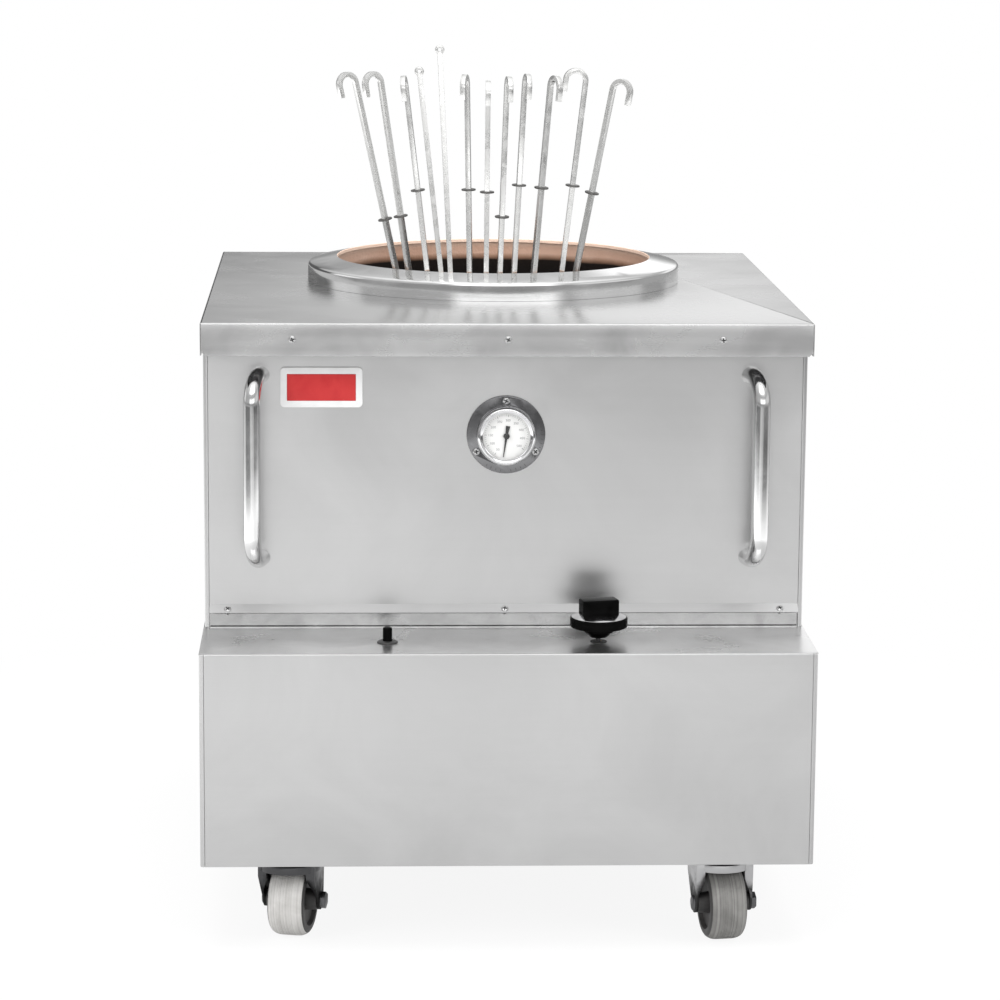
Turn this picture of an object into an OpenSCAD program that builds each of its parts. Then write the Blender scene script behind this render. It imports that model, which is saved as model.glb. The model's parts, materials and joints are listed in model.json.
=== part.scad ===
// Free-standing gas tandoor: a clay pot in an insulated sheet-metal cabinet on casters.
// Millimetres, +Z up, the front faces -Y. The origin is on the floor, under the middle of
// the cabinet. Distances "behind the front" are measured from the base's front face.

/* [Cabinet] */
// Width across the base and the top cover
cabinet_w = 816; // [760:1:1000]
// Depth from the base's front to its back
cabinet_d = 966; // [940:1:1200]
// Height of the base, from its lower edge to the shelf
base_h = 289; // [260:1:400]
// Height from the shelf to the top cover
body_h = 423; // [380:1:600]
// Depth of the shelf in front of the upper body
shelf_d = 160; // [130:1:180]
// How far the upper body's front stands back under the top cover's front edge
overhang = 50; // [40:1:80]
// Thickness of the cabinet sheet
sheet = 1.5; // [1:0.1:2]
// Bend radius of the cabinet's upright corners
corner_r = 5; // [3:0.5:8]
// Width of the flange that returns across the front at each side
return_w = 6; // [5:0.5:12]
// Width of the flanges that carry the floor pan
ledge_w = 15; // [10:1:25]
// How far the upper body's shell reaches down into the base
tuck = 20; // [10:1:40]
// Gap between sheets that fit into each other
fit_gap = 0.3; // [0.2:0.05:0.5]

/* [Top cover] */
// Height of the skirt that hangs from the top cover
skirt_h = 44; // [36:1:50]
// Height of the skirt above its crease
band_h = 30; // [24:1:34]
// How far the skirt kicks out below the crease
skirt_kick = 1.2; // [0.5:0.1:3]
// Size of the cut at the skirt's lower corners
skirt_cut = 7; // [4:1:12]
// Distance of the skirt's screws below the top cover
skirt_screw_drop = 22; // [18:1:24]
// Distance of the skirt's outer screws from the sides
skirt_screw_in = 122; // [90:1:160]

/* [Mouth] */
// Insulation between the pot's belly and the back
insulation_back = 55; // [50:1:70]
// Diameter of the opening in the collar
mouth_d = 456; // [430:1:460]
// Outer diameter of the collar
collar_d = 542; // [538:1:560]
// Height of the collar's wall
collar_wall_h = 26.5; // [20:0.5:40]
// Rise of the collar's top, from the wall to the mouth
collar_rise = 8; // [4:0.5:14]
// Radius of the collar's shoulder
shoulder_r = 5; // [3:0.5:8]
// Depth of the edge turned down into the mouth
hem_h = 5; // [3:0.5:8]

/* [Clay pot] */
// Extra inner diameter of the clay pot under the mouth
pot_neck_extra = 8; // [6:1:12]
// Inner diameter of the clay pot at its belly
belly_d = 536; // [500:1:550]
// Inner diameter of the clay pot at its floor
floor_d = 412; // [400:1:440]
// Height of the belly above the hearth
belly_h = 190; // [150:1:260]
// Thickness of the clay
clay = 30; // [24:1:32]
// Height of the hearth above the base's lower edge
hearth_h = 183; // [165:1:220]
// Thickness of the hearth plate
hearth_t = 6; // [4:1:10]
// Diameter of the flame opening in the hearth
flame_d = 160; // [120:1:170]

/* [Upper front panel] */
// Gap between the shelf and the front panel's lower bend
panel_lift = 33; // [28:1:40]
// Size of the flange bent out at the panel's lower edge, forward and down
drip = 10; // [6:1:14]
// Setback of the strip behind the panel's lower edge
riser_back = 4; // [3:0.5:8]
// Distance of the lower flange's outer screws from the sides
drip_screw_in = 33; // [26:1:80]

/* [Screws] */
// Diameter of the screws
screw_d = 5; // [4:0.5:6]
// Diameter of the screw heads
screw_head_d = 10; // [9:0.5:11]
// Height of the screw heads
screw_head_h = 3; // [2:0.5:4]
// Length of the screws under the head
screw_l = 9; // [7:1:10]

/* [Handles] */
// Diameter of the handle tube
handle_d = 23; // [18:1:28]
// Distance between a handle's feet
handle_l = 249; // [200:1:280]
// Distance of the bar's axis from the panel
handle_reach = 46; // [40:1:60]
// Bend radius of the bar, on its axis
handle_bend = 36; // [20:1:40]
// Distance of the feet from the cabinet's sides
handle_in = 79; // [64:1:100]
// Distance of the handle's middle below the top cover
handle_drop = 201; // [175:1:225]
// How far the bar leans outwards, in degrees
handle_lean = 14; // [0:1:20]

/* [Name plate] */
// Width of the plate
plate_w = 110; // [80:1:120]
// Height of the plate
plate_h = 54; // [40:1:60]
// Corner radius of the plate
plate_r = 6; // [3:1:10]
// Thickness of the plate
plate_t = 3; // [1:0.5:3]
// Width of the bare margin round the coloured field
plate_margin = 9; // [6:0.5:12]
// Height of the coloured field over the plate
field_h = 0.6; // [0.4:0.1:1]
// Distance of the plate's centre from the cabinet's side
plate_in = 160; // [150:1:170]
// Distance of the plate's centre below the top cover
plate_drop = 93; // [85:1:125]

/* [Thermometer] */
// Diameter of the mounting flange
flange_d = 106; // [104:1:120]
// Thickness of the mounting flange
flange_t = 2.5; // [2:0.5:4]
// Outer diameter of the bezel
bezel_d = 80; // [70:1:80]
// How far the bezel stands in front of the flange
bezel_h = 20; // [16:1:28]
// Width of the bezel's front ring
bezel_ring = 8; // [5:0.5:9]
// Diameter of the circle of flange screws
flange_pcd = 92; // [90:1:94]
// Distance of the thermometer below the top cover
dial_drop = 157; // [135:1:185]
// Diameter of the probe
probe_d = 8; // [6:1:10]
// How deep the probe's tip sits in the clay
probe_bite = 18; // [10:1:20]

/* [Gas controls] */
// Distance of the knob and the valve from the middle, to the right
knob_x = 122; // [100:1:150]
// Distance of the knob's axis behind the front
knob_back = 72; // [60:1:80]
// Diameter of the knob's skirt
knob_d = 77; // [60:1:84]
// Height of the knob's skirt
knob_skirt_h = 18; // [14:1:22]
// Gap between the shelf and the knob's skirt
knob_lift = 21; // [16:1:26]
// Length of the knob's grip
grip_l = 50; // [40:1:56]
// Thickness of the knob's grip
grip_w = 25; // [16:1:26]
// Height of the grip above the skirt
grip_h = 19; // [14:1:24]
// How far the grip is turned at rest, in degrees
grip_turn = 13; // [0:1:45]
// Travel of the knob when it is pushed in
knob_push = 4; // [3:0.5:5]
// Diameter of the valve stem
stem_d = 8; // [6:0.5:9]
// Distance of the igniter from the middle, to the left
igniter_x = 160; // [130:1:200]
// Distance of the igniter behind the front
igniter_back = 68; // [50:1:80]
// Diameter of the igniter's button
button_d = 12.5; // [10:0.5:14]
// Height of the button above its ring
button_h = 18; // [12:1:18]
// Travel of the button
button_push = 8; // [4:1:9]
// Diameter of the igniter's ring
ring_d = 28; // [26:1:34]
// Height of the igniter's ring
ring_h = 3; // [2:0.5:9]

/* [Gas line and burner] */
// Outer diameter of the supply pipe
pipe_d = 26.7; // [20:0.1:30]
// Length of the inlet's nipple
nipple_l = 60; // [50:1:80]
// Distance of the inlet from the cabinet's right side
inlet_in = 108; // [90:1:125]
// Height of the inlet above the base's lower edge
inlet_h = 70; // [60:1:90]
// Outer diameter of the pipe from the valve to the burner
feed_d = 12; // [10:1:14]
// Outer diameter of the burner ring
burner_d = 150; // [120:1:156]
// Depth of the burner below the hearth
burner_drop = 50; // [40:1:60]
// Diameter of the flame deflector
deflector_d = 172; // [165:1:180]
// Height of the flame deflector's legs
deflector_h = 22; // [15:1:30]

/* [Frame] */
// Leg width of the angle iron
angle_w = 30; // [25:1:34]
// Thickness of the angle iron
angle_t = 3; // [3:0.5:5]
// Thickness of the floor pan
pan_t = 2; // [1.5:0.5:3]

/* [Casters] */
// Diameter of the wheels
wheel_d = 100; // [90:1:125]
// Width of the wheels' tread
wheel_w = 50; // [40:1:56]
// Gap between a wheel's top and the fork's crown
crown_gap = 4; // [4:0.5:12]
// Thickness of the fork
fork_t = 3.5; // [3:0.5:5]
// Width over the fork's legs
fork_w = 78; // [74:1:84]
// Depth of the fork at its crown
fork_depth = 54; // [46:1:58]
// Diameter of the fork's crown
crown_d = 84; // [80:1:90]
// Height of the bearing race between plate and fork
race_h = 6.7; // [6.5:0.1:9]
// Diameter of the bearing race
race_d = 58; // [50:1:60]
// Diameter of the kingpin
kingpin_d = 14; // [12:1:16]
// Distance of the axle from the kingpin
trail = 14; // [8:1:18]
// Diameter of the axles
axle_d = 12; // [10:1:14]
// Side of the caster plate, across
plate_across = 90; // [86:1:100]
// Side of the caster plate, front to back
plate_along = 80; // [78:1:96]
// Thickness of the caster plate
caster_t = 4; // [3:0.5:6]
// Distance of the caster bolts from the plate's edges
bolt_edge = 11; // [10:1:12]
// Diameter of the caster bolts
bolt_d = 8; // [6:1:10]
// Distance of the kingpins from the cabinet's sides
caster_in_x = 118; // [100:1:140]
// Distance of the kingpins from the cabinet's front and back
caster_in_y = 67; // [65:1:100]

/* [Skewers] */
// Side of the square skewer rod
rod = 7; // [5:0.5:7.5]
// Length of the skewers' points
point_l = 18; // [10:1:25]
// Radius of the hook, on the rod's axis
hook_r = 14; // [10:1:15]
// Length of the hook's free end
hook_tail = 16; // [10:1:20]
// Diameter of the stop discs
guard_d = 20; // [14:1:20.5]
// Thickness of the stop discs
guard_t = 2; // [1:0.5:3]
// Radius of the small eyes, on their axis
eye_r = 4.5; // [3.5:0.5:6]

/* [Hidden] */
$fn = 64;
run_gap = 0.05;      // radial gap of a shaft that turns in its hole
rest_gap = 0.3;      // gap under what only rests on something
hole_gap = 0.3;      // radial gap round a screw or bolt
cut = 1;             // how far a cutting solid reaches past what it cuts
head_d = 13;         // across the caster bolt's head
head_h = 5;          // height of the caster bolt's head
nut_h = 7;           // height of the nuts

// Heights, from the floor up
crown_z = wheel_d + crown_gap;
crown_top = crown_z + fork_t;
race_z = crown_top + rest_gap;
caster_plate_z = race_z + race_h;
pan_z = caster_plate_z + caster_t;
base_z = pan_z - sheet;
shelf_z = base_z + base_h;
top_z = shelf_z + body_h;
hearth_z = base_z + hearth_h;
mouth_z = top_z + collar_wall_h + collar_rise;

// Distances, front to back
front_y = -cabinet_d / 2;
back_y = cabinet_d / 2;
body_y = front_y + shelf_d;
cover_y = body_y - overhang;
pot_y = back_y - insulation_back - clay - belly_d / 2;

// Distances from the middle, across
skirt_screw_step = cabinet_w / 2 - skirt_screw_in;
drip_screw_step = cabinet_w / 2 - drip_screw_in;
handle_x = cabinet_w / 2 - handle_in;
plate_x = cabinet_w / 2 - plate_in;
inlet_x = cabinet_w / 2 - inlet_in;

// Body and cover
cover_d = back_y - cover_y;
body_w = cabinet_w - 2 * (sheet + fit_gap);
body_d = back_y - sheet - fit_gap - body_y;
body_mid_y = body_y + body_d / 2;
cover_mid_y = cover_y + cover_d / 2;
skirt_z = top_z - skirt_h;
body_top = top_z - sheet - fit_gap;
panel_z = shelf_z + panel_lift;
rail_top = top_z - sheet;
panel_top = rail_top - angle_w - fit_gap;
panel_w = body_w - 2 * return_w - 2 * fit_gap;
apron_w = cabinet_w - 2 * return_w - 2 * fit_gap;
riser_y = body_y + riser_back;
shelf_sheet_d = shelf_d + riser_back + sheet;
tuck_y = front_y + shelf_sheet_d + fit_gap;
post_y = riser_y + sheet + fit_gap;
corner_inset = (corner_r - sheet) * (1 - sqrt(0.5)) + fit_gap;
post_back_y = body_y + body_d - sheet - corner_inset;
post_x = body_w / 2 - sheet - corner_inset;
rail_y = cover_y + sheet;

// Pot: the radius bulges to the belly and narrows to the neck and to the floor
neck_r = mouth_d / 2 + pot_neck_extra / 2;
collar_in_r = collar_d / 2 - sheet;
rim_t = 1.2 * sheet;
rim_in_r = mouth_d / 2 + sheet;
rim_slope = (collar_rise + sheet - rim_t) / (collar_d / 2 - shoulder_r - rim_in_r);
function rim_under(r) = mouth_z - rim_t - (r - rim_in_r) * rim_slope - rest_gap;
pot_neck_z = rim_under(neck_r);
belly_z = hearth_z + belly_h;
clay_rings = 12;
function pot_r(z) = z < belly_z
    ? belly_d / 2 - (belly_d - floor_d) / 2 * pow((belly_z - z) / belly_h, 2)
    : belly_d / 2 - (belly_d / 2 - neck_r) * pow((z - belly_z) / (pot_neck_z - belly_z), 2);
function pot_z(i, z1) = hearth_z + (z1 - hearth_z) * i / clay_rings;
function pot_side(grow, z1) = [for (i = [0:clay_rings]) [pot_r(pot_z(i, z1)) + grow, pot_z(i, z1)]];
pot_lip_r = neck_r + clay;
dome_rise = 20;      // height of the flame deflector's dome, inside
dome_t = 6;          // thickness of the flame deflector
dome_leg_d = 7;      // diameter of its legs

// Air slots in the floor pan, under the burner
slot_step = 40;
slot_w = 14;
slot_l = 160;

// Upright air slots in the back
back_slot_step = 30;
back_slot_w = 8;
back_slot_h = 90;

// Thermometer
dial_h = top_z - dial_drop;
case_wall = 2;
case_back = 3;
glass_t = 1.5;
dial_t = 1;
needle_t = 1;
dial_r = bezel_d / 2 - case_wall - 0.5;
glass_y = flange_t + bezel_h - 2 - glass_t;
dial_y = glass_y - 5;
probe_l = pot_y - pot_r(dial_h) - clay + probe_bite - body_y;
needle_rest = 262;   // degrees, counter-clockwise from 3 o'clock

// Gas controls
knob_y = front_y + knob_back;
knob_z = shelf_z + knob_lift;
neck_d = 22;
neck_up = 1;         // how far the valve's neck stands above the shelf
boss_h = knob_lift - neck_up - knob_push - 2;
knob_cone_h = 5;     // rise of the skirt's top, from its upright band to the grip
valve_h = 55;
valve_w = 46;
valve_top = shelf_z - sheet;
core_d = 20;
igniter_y = front_y + igniter_back;
igniter_depth = 52;  // how far the igniter's body reaches below the shelf
feed_z = valve_top - valve_h + 16;
burner_z = hearth_z - hearth_t - burner_drop;
burner_h = 22;
venturi_l = 160;     // length of the mixing tube outside the burner ring
feed_in = 14;        // how far the feed pipe reaches into the mixing tube
pilot_x = burner_d / 2 + 16;
electrode_y = 14;
electrode_drop = 12;
lead_z = pan_z + pan_t + 30;
inlet_z = base_z + inlet_h;
inlet_hole_d = 74;
elbow = 1.15;        // an elbow's diameter, in pipe diameters
hex_d = 40;
stay_in = 60;        // distance of the pipe's stay in front of the nipple
stay_w = 20;

// Casters: place and turn of each, at rest
caster_x = cabinet_w / 2 - caster_in_x;
caster_y = cabinet_d / 2 - caster_in_y;
FRONT_LEFT = [-caster_x, -caster_y, 166];
FRONT_RIGHT = [caster_x, -caster_y, 8];
BACK_LEFT = [-caster_x, caster_y, 35];
BACK_RIGHT = [caster_x, caster_y, -140];
CASTERS = [FRONT_LEFT, FRONT_RIGHT, BACK_LEFT, BACK_RIGHT];
axle_z = wheel_d / 2;
hub_w = fork_w - 2 * fork_t - 1;
hub_d = 26;
axle_nut_d = axle_d + 12;
axle_head_h = 2.5;   // height of the head at the axle's other end
crown_rim_h = 7;     // height of the rim turned down from the fork's crown
tread_drop = 9;      // how far the tread rounds off to its edges
tread_edge = 14;     // width of that rounding
pin_foot_t = 2.5;    // thickness of the kingpin's foot, under the crown

// Skewers: each leans on the mouth's front edge and stands on the hearth.
// across at the rim, across at the foot, foot in front of the pot's axis,
// length above the rim, stop disc above the rim (0 for none), turn of the hook
SKEWERS = [
    [-145, -23, 120, 288, 73, 216],
    [-127, -42, 145, 285, 78, 219],
    [-101, -33, 165, 278, 116, 262],
    [-82, -18, 155, 286, 0, 0],
    [-69, -39, 190, 313, 0, 0],
    [-42, -30, 190, 279, 118, 256],
    [-19, -20, 190, 271, 115, 268],
    [0, -15, 170, 279, 81, 278],
    [20, -6, 190, 281, 125, 280],
    [48, 6, 165, 281, 122, 294],
    [88, 26, 165, 287, 124, 184],
    [109, 8, 125, 281, 115, 325],
];
lean_r = mouth_d / 2 - rod * sqrt(2) / 2 - rest_gap;
function skewer_foot(s) = [s[1], pot_y - s[2], hearth_z + rest_gap];
function skewer_rim(s) = [s[0], pot_y - sqrt(pow(lean_r, 2) - pow(s[0], 2)), mouth_z];

// ---------- shapes that several pieces share ----------

module rounded_plan(w, d, r) {
    square([w - 2 * r, d], center = true);
    square([w, d - 2 * r], center = true);
    for (x = [-1, 1], y = [-1, 1])
        translate([x * (w / 2 - r), y * (d / 2 - r)])
            circle(r);
}

// Outline in the YZ plane, drawn out across the cabinet
module across(w) {
    rotate([90, 0, 90])
        linear_extrude(w, center = true)
            children();
}

// Sheet bent round both sides and the back, with a flange across each front edge
module wrap(w, d, h) {
    linear_extrude(h)
        difference() {
            rounded_plan(w, d, corner_r);
            rounded_plan(w - 2 * sheet, d - 2 * sheet, corner_r - sheet);
            translate([0, -d / 2])
                square([w - 2 * return_w, 6 * sheet], center = true);
        }
}

// Round bar between two points, with a ball at each end for the next length
module link(a, b, d, ball) {
    v = b - a;
    len = norm(v);
    translate(a)
        rotate([0, acos(v[2] / len), atan2(v[1], v[0])])
            cylinder(d = d, h = len);
    translate(b)
        sphere(d = d * ball);
}

module run(points, d, ball = 1) {
    for (i = [1:len(points) - 1])
        link(points[i - 1], points[i], d, ball);
}

module angle_iron(l) {
    linear_extrude(l)
        polygon([[0, 0], [angle_w, 0], [angle_w, angle_t], [angle_t, angle_t],
                 [angle_t, angle_w], [0, angle_w]]);
}

module screw() {
    translate([0, 0, -screw_l])
        cylinder(d = screw_d, h = screw_l + screw_head_h / 2);
    intersection() {
        cylinder(d = screw_head_d, h = screw_head_h);
        translate([0, 0, screw_head_h - screw_head_d])
            sphere(r = screw_head_d);
    }
}

// Places for the three screws across the skirt and the three across the lower flange
module at_skirt_screws() {
    for (i = [-1:1])
        translate([i * skirt_screw_step, cover_y, top_z - skirt_screw_drop])
            rotate([90, 0, 0])
                children();
}

module at_drip_screws() {
    for (i = [-1:1])
        translate([i * drip_screw_step, body_y - drip / 2, panel_z - drip / 2])
            rotate([45, 0, 0])
                children();
}

// Turned piece of the thermometer: its axis points to the front from the panel
module at_dial() {
    translate([0, body_y, dial_h])
        rotate([90, 0, 0])
            children();
}

module at_flange_screws() {
    at_dial()
        for (a = [90, 210, 330])
            rotate([0, 0, a])
                translate([flange_pcd / 2, 0, flange_t])
                    children();
}

// ---------- cabinet ----------

module base_front() {
    color("gainsboro") {
        difference() {
            translate([0, front_y, base_z])
                across(apron_w)
                    difference() {
                        polygon([[0, 0], [ledge_w, 0], [ledge_w, sheet], [sheet, sheet],
                                 [sheet, base_h - sheet], [shelf_sheet_d, base_h - sheet],
                                 [shelf_sheet_d, base_h], [0, base_h]]);
                        translate([corner_r / 2, base_h - corner_r / 2])
                            difference() {
                                translate([-corner_r, 0])
                                    square(corner_r);
                                circle(corner_r / 2);
                            }
                    }
            shelf_holes();
        }
        for (x = [-1, 1])
            translate([x * (cabinet_w / 2 + apron_w / 2) / 2,
                       front_y + shelf_sheet_d / 2, shelf_z - sheet / 2])
                cube([(cabinet_w - apron_w) / 2, shelf_sheet_d, sheet], center = true);
    }
}

module shelf_holes() {
    translate([knob_x, knob_y, shelf_z - sheet - cut])
        cylinder(d = neck_d + 2 * hole_gap, h = sheet + 2 * cut);
    translate([-igniter_x, igniter_y, shelf_z - sheet - cut])
        cylinder(d = button_d + 8, h = sheet + 2 * cut);
}

module base_shell() {
    color("gainsboro")
        difference() {
            translate([0, 0, base_z]) {
                wrap(cabinet_w, cabinet_d, base_h);
                linear_extrude(sheet)
                    difference() {
                        rounded_plan(cabinet_w, cabinet_d, corner_r);
                        translate([0, -ledge_w])
                            square([cabinet_w - 2 * ledge_w, cabinet_d], center = true);
                        translate([0, front_y])
                            square([cabinet_w - 2 * return_w, 2 * (ledge_w + 2)], center = true);
                    }
            }
            translate([-cabinet_w, front_y - cut, shelf_z - sheet])
                cube([2 * cabinet_w, tuck_y - front_y + cut, sheet + cut]);
            translate([inlet_x, back_y - 3 * sheet, inlet_z])
                rotate([-90, 0, 0])
                    cylinder(d = inlet_hole_d, h = 6 * sheet);
            for (i = [-3:3])
                translate([-cabinet_w / 5 + i * back_slot_step, back_y, base_z + base_h / 2])
                    cube([back_slot_w, 6 * sheet, back_slot_h], center = true);
        }
}

module floor_pan() {
    color("darkgray")
        difference() {
            translate([0, 0, pan_z])
                linear_extrude(pan_t)
                    difference() {
                        square([cabinet_w - 2 * sheet - 2 * fit_gap,
                                cabinet_d - 2 * sheet - 2 * fit_gap], center = true);
                        for (x = [-1, 1])
                            translate([x * cabinet_w / 2, front_y])
                                square([2 * (return_w + 2), 2 * corner_r + 4], center = true);
                        for (x = [-1, 1])
                            translate([x * cabinet_w / 2, back_y])
                                square([2 * corner_r, 2 * corner_r], center = true);
                        translate([0, pot_y])
                            for (i = [-3:3])
                                translate([i * slot_step, 0])
                                    square([slot_w, slot_l], center = true);
                    }
            at_caster_bolts()
                translate([0, 0, -cut])
                    cylinder(d = bolt_d + 2 * hole_gap, h = caster_t + pan_t + 2 * cut);
        }
}

// Angle iron across the cabinet, its level leg on top, its upright leg at y
module cross_angle(l, y, z, to_front) {
    translate([0, y, z])
        mirror([0, to_front, 0])
            across(l)
                polygon([[0, 0], [0, -angle_w], [angle_t, -angle_w], [angle_t, -angle_t],
                         [angle_w, -angle_t], [angle_w, 0]]);
}

// Welded angle iron: a floor ring, four posts, rails under the hearth and the top cover
module frame() {
    floor_z = pan_z + pan_t;
    ring_x = cabinet_w / 2 - sheet - 2 * fit_gap;
    ring_y = cabinet_d / 2 - sheet - 2 * fit_gap;
    ring_l = 2 * ring_y - 2 * corner_r;
    post_h = rail_top - floor_z;
    color("dimgray")
        difference() {
            union() {
                for (s = [0, 1])
                    mirror([s, 0, 0]) {
                        translate([ring_x, ring_l / 2, floor_z])
                            rotate([90, 0, 0])
                                mirror([1, 0, 0])
                                    angle_iron(ring_l);
                        translate([post_x, post_y, floor_z])
                            rotate([0, 0, 90])
                                angle_iron(post_h);
                        translate([post_x, post_back_y, floor_z])
                            rotate([0, 0, 180])
                                angle_iron(post_h);
                        translate([post_x - angle_w, rail_y, rail_top - angle_w])
                            cube([angle_t, post_y - rail_y + angle_w, angle_w]);
                        mirror([0, 0, 1])
                            cross_angle(2 * ring_x - 4 * corner_r, -ring_y, -floor_z, 0);
                    }
                for (z = [hearth_z - hearth_t, rail_top]) {
                    cross_angle(2 * post_x, post_y, z, 0);
                    cross_angle(2 * post_x, post_back_y, z, 1);
                }
                cross_angle(2 * post_x, rail_y, rail_top, 0);
            }
            at_caster_bolts()
                translate([0, 0, caster_t + pan_t - 2 * cut])
                    cylinder(d = head_d + 6, h = angle_w + 3 * cut);
            at_skirt_screws()
                translate([0, 0, -screw_l - cut])
                    cylinder(d = screw_d + 2 * hole_gap, h = screw_l + cut);
        }
}

module body_front() {
    color("silver")
        difference() {
            translate([0, body_y, 0])
                across(panel_w)
                    polygon([[0, panel_z], [-drip, panel_z - drip],
                             [-drip + sheet, panel_z - drip - sheet],
                             [sheet, panel_z - sheet], [sheet, panel_top], [0, panel_top]]);
            at_dial()
                translate([0, 0, -sheet - cut])
                    cylinder(d = probe_d + 4, h = sheet + 2 * cut);
            at_flange_screws()
                translate([0, 0, -screw_l])
                    cylinder(d = screw_d + 2 * hole_gap, h = screw_l);
            at_drip_screws()
                translate([0, 0, -3 * sheet])
                    cylinder(d = screw_d + 2 * hole_gap, h = 6 * sheet);
        }
}

module body_shell() {
    color("silver")
        difference() {
            translate([0, body_mid_y, shelf_z - tuck])
                wrap(body_w, body_d, body_top - shelf_z + tuck);
            translate([-body_w, body_y - cut, shelf_z - tuck - cut])
                cube([2 * body_w, tuck_y - body_y + cut, tuck + cut]);
            translate([-body_w, body_y - cut, panel_top])
                cube([2 * body_w, corner_r + cut, body_top]);
        }
}

module riser_strip() {
    color("darkgray")
        translate([0, riser_y, shelf_z])
            across(body_w - 2 * corner_r)
                polygon([[0, 0], [sheet, 0], [sheet, panel_lift], [-riser_back + sheet + fit_gap, panel_lift],
                         [-riser_back + sheet + fit_gap, panel_lift - sheet], [0, panel_lift - sheet]]);
}

module top_cover() {
    color("lightgray")
        difference() {
            union() {
                translate([0, cover_mid_y, top_z - sheet])
                    linear_extrude(sheet)
                        rounded_plan(cabinet_w, cover_d, 2);
                for (x = [-1, 1])
                    translate([x * (cabinet_w - sheet) / 2, cover_mid_y, top_z - skirt_h / 2])
                        cube([sheet, cover_d - 4, skirt_h], center = true);
                translate([0, back_y - sheet / 2, top_z - skirt_h / 2])
                    cube([cabinet_w - 4, sheet, skirt_h], center = true);
                translate([0, cover_y, top_z])
                    across(cabinet_w - 4)
                        polygon([[0, 0], [0, -band_h], [-skirt_kick, -skirt_h],
                                 [sheet - skirt_kick, -skirt_h], [sheet, -band_h], [sheet, 0]]);
                for (x = [-1, 1], y = [cover_y + 2, back_y - 2])
                    translate([x * (cabinet_w / 2 - 2), y, skirt_z])
                        cylinder(r = 2, h = skirt_h);
            }
            translate([0, cover_mid_y, skirt_z + (skirt_h - sheet - cut) / 2])
                cube([cabinet_w - 2 * sheet, cover_d - 2 * sheet, skirt_h - sheet + cut], center = true);
            translate([0, pot_y, top_z - sheet - cut])
                cylinder(r = collar_in_r - 1, h = sheet + 2 * cut, $fn = 128);
            for (x = [-1, 1])
                translate([x * cabinet_w / 2, cover_y, skirt_z])
                    rotate([90, 0, 0])
                        cylinder(r = skirt_cut, h = 4 * sheet, center = true, $fn = 4);
            at_skirt_screws()
                translate([0, 0, -2 * sheet])
                    cylinder(d = screw_d + 2 * hole_gap, h = 4 * sheet);
        }
}

module collar() {
    r = collar_d / 2;
    m = mouth_d / 2;
    h = collar_wall_h;
    color("gainsboro")
        translate([0, pot_y, top_z])
            rotate_extrude($fn = 128)
                difference() {
                    polygon(concat(
                        [[r - sheet, 0], [r, 0]],
                        [for (a = [0:15:75]) [r - shoulder_r + shoulder_r * cos(a),
                                              h - shoulder_r + shoulder_r * sin(a)]],
                        [[m + 0.6, h + collar_rise], [m, h + collar_rise - 0.6],
                         [m, h + collar_rise - hem_h], [m + sheet, h + collar_rise - hem_h],
                         [m + sheet, h + collar_rise - rim_t],
                         [r - shoulder_r, h - sheet], [r - sheet, h - shoulder_r]]));
                }
}

// ---------- pot, hearth and insulation ----------

module clay_pot() {
    color("peru")
        difference() {
            translate([0, pot_y, 0])
                rotate_extrude($fn = 96)
                    polygon(concat(
                        pot_side(0, pot_neck_z),
                        [for (i = [0:3]) [neck_r + clay * i / 3, rim_under(neck_r + clay * i / 3)]],
                        [for (i = [clay_rings - 1:-1:0]) pot_side(clay, pot_neck_z - 6)[i]]));
            at_dial()
                translate([0, 0, -probe_l - rest_gap])
                    cylinder(d = probe_d + 1, h = probe_l);
        }
}

module insulation() {
    top = body_top - angle_w - 1;
    color("beige")
        difference() {
            translate([0, (post_y + post_back_y) / 2, (hearth_z + top) / 2])
                cube([2 * post_x, post_back_y - post_y, top - hearth_z], center = true);
            translate([0, pot_y, 0])
                rotate_extrude($fn = 96)
                    polygon(concat(
                        [[0, hearth_z - cut]],
                        [[pot_r(hearth_z) + clay + rest_gap, hearth_z - cut]],
                        pot_side(clay + rest_gap, pot_neck_z),
                        [[0, pot_neck_z]]));
            for (x = [-1, 1], y = [post_y, post_back_y])
                translate([x * post_x, y, (hearth_z + top) / 2])
                    cube([2 * angle_w + 2, 2 * angle_w + 2, 2 * body_h], center = true);
            at_dial()
                translate([0, 0, -probe_l])
                    cylinder(d = probe_d + 1, h = probe_l);
            at_flange_screws()
                translate([0, 0, -2 * screw_l])
                    cylinder(d = screw_d + 2, h = 2 * screw_l);
        }
}

module hearth_plate() {
    color("dimgray")
        difference() {
            translate([-post_x, post_y, hearth_z - hearth_t])
                cube([2 * post_x, post_back_y - post_y, hearth_t]);
            for (x = [-1, 1], y = [post_y, post_back_y])
                translate([x * post_x, y, hearth_z])
                    cube([2 * angle_w + 2, 2 * angle_w + 2, 4 * hearth_t], center = true);
            translate([0, pot_y, hearth_z - hearth_t - cut])
                cylinder(d = flame_d, h = hearth_t + 2 * cut);
        }
}

module flame_deflector() {
    r = deflector_d / 2;
    color("dimgray")
        translate([0, pot_y, hearth_z]) {
            translate([0, 0, deflector_h])
                rotate_extrude()
                    polygon([[0, dome_rise + dome_t], [0, dome_rise], [r / 2, dome_rise * 0.75],
                             [r - 4, 0], [r, 0], [r, dome_t],
                             [r / 2 + 4, dome_rise * 0.75 + dome_t]]);
            for (a = [30, 150, 270])
                rotate([0, 0, a])
                    translate([r - 4, 0, 0])
                        cylinder(d = dome_leg_d, h = deflector_h + 4);
        }
}

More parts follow.
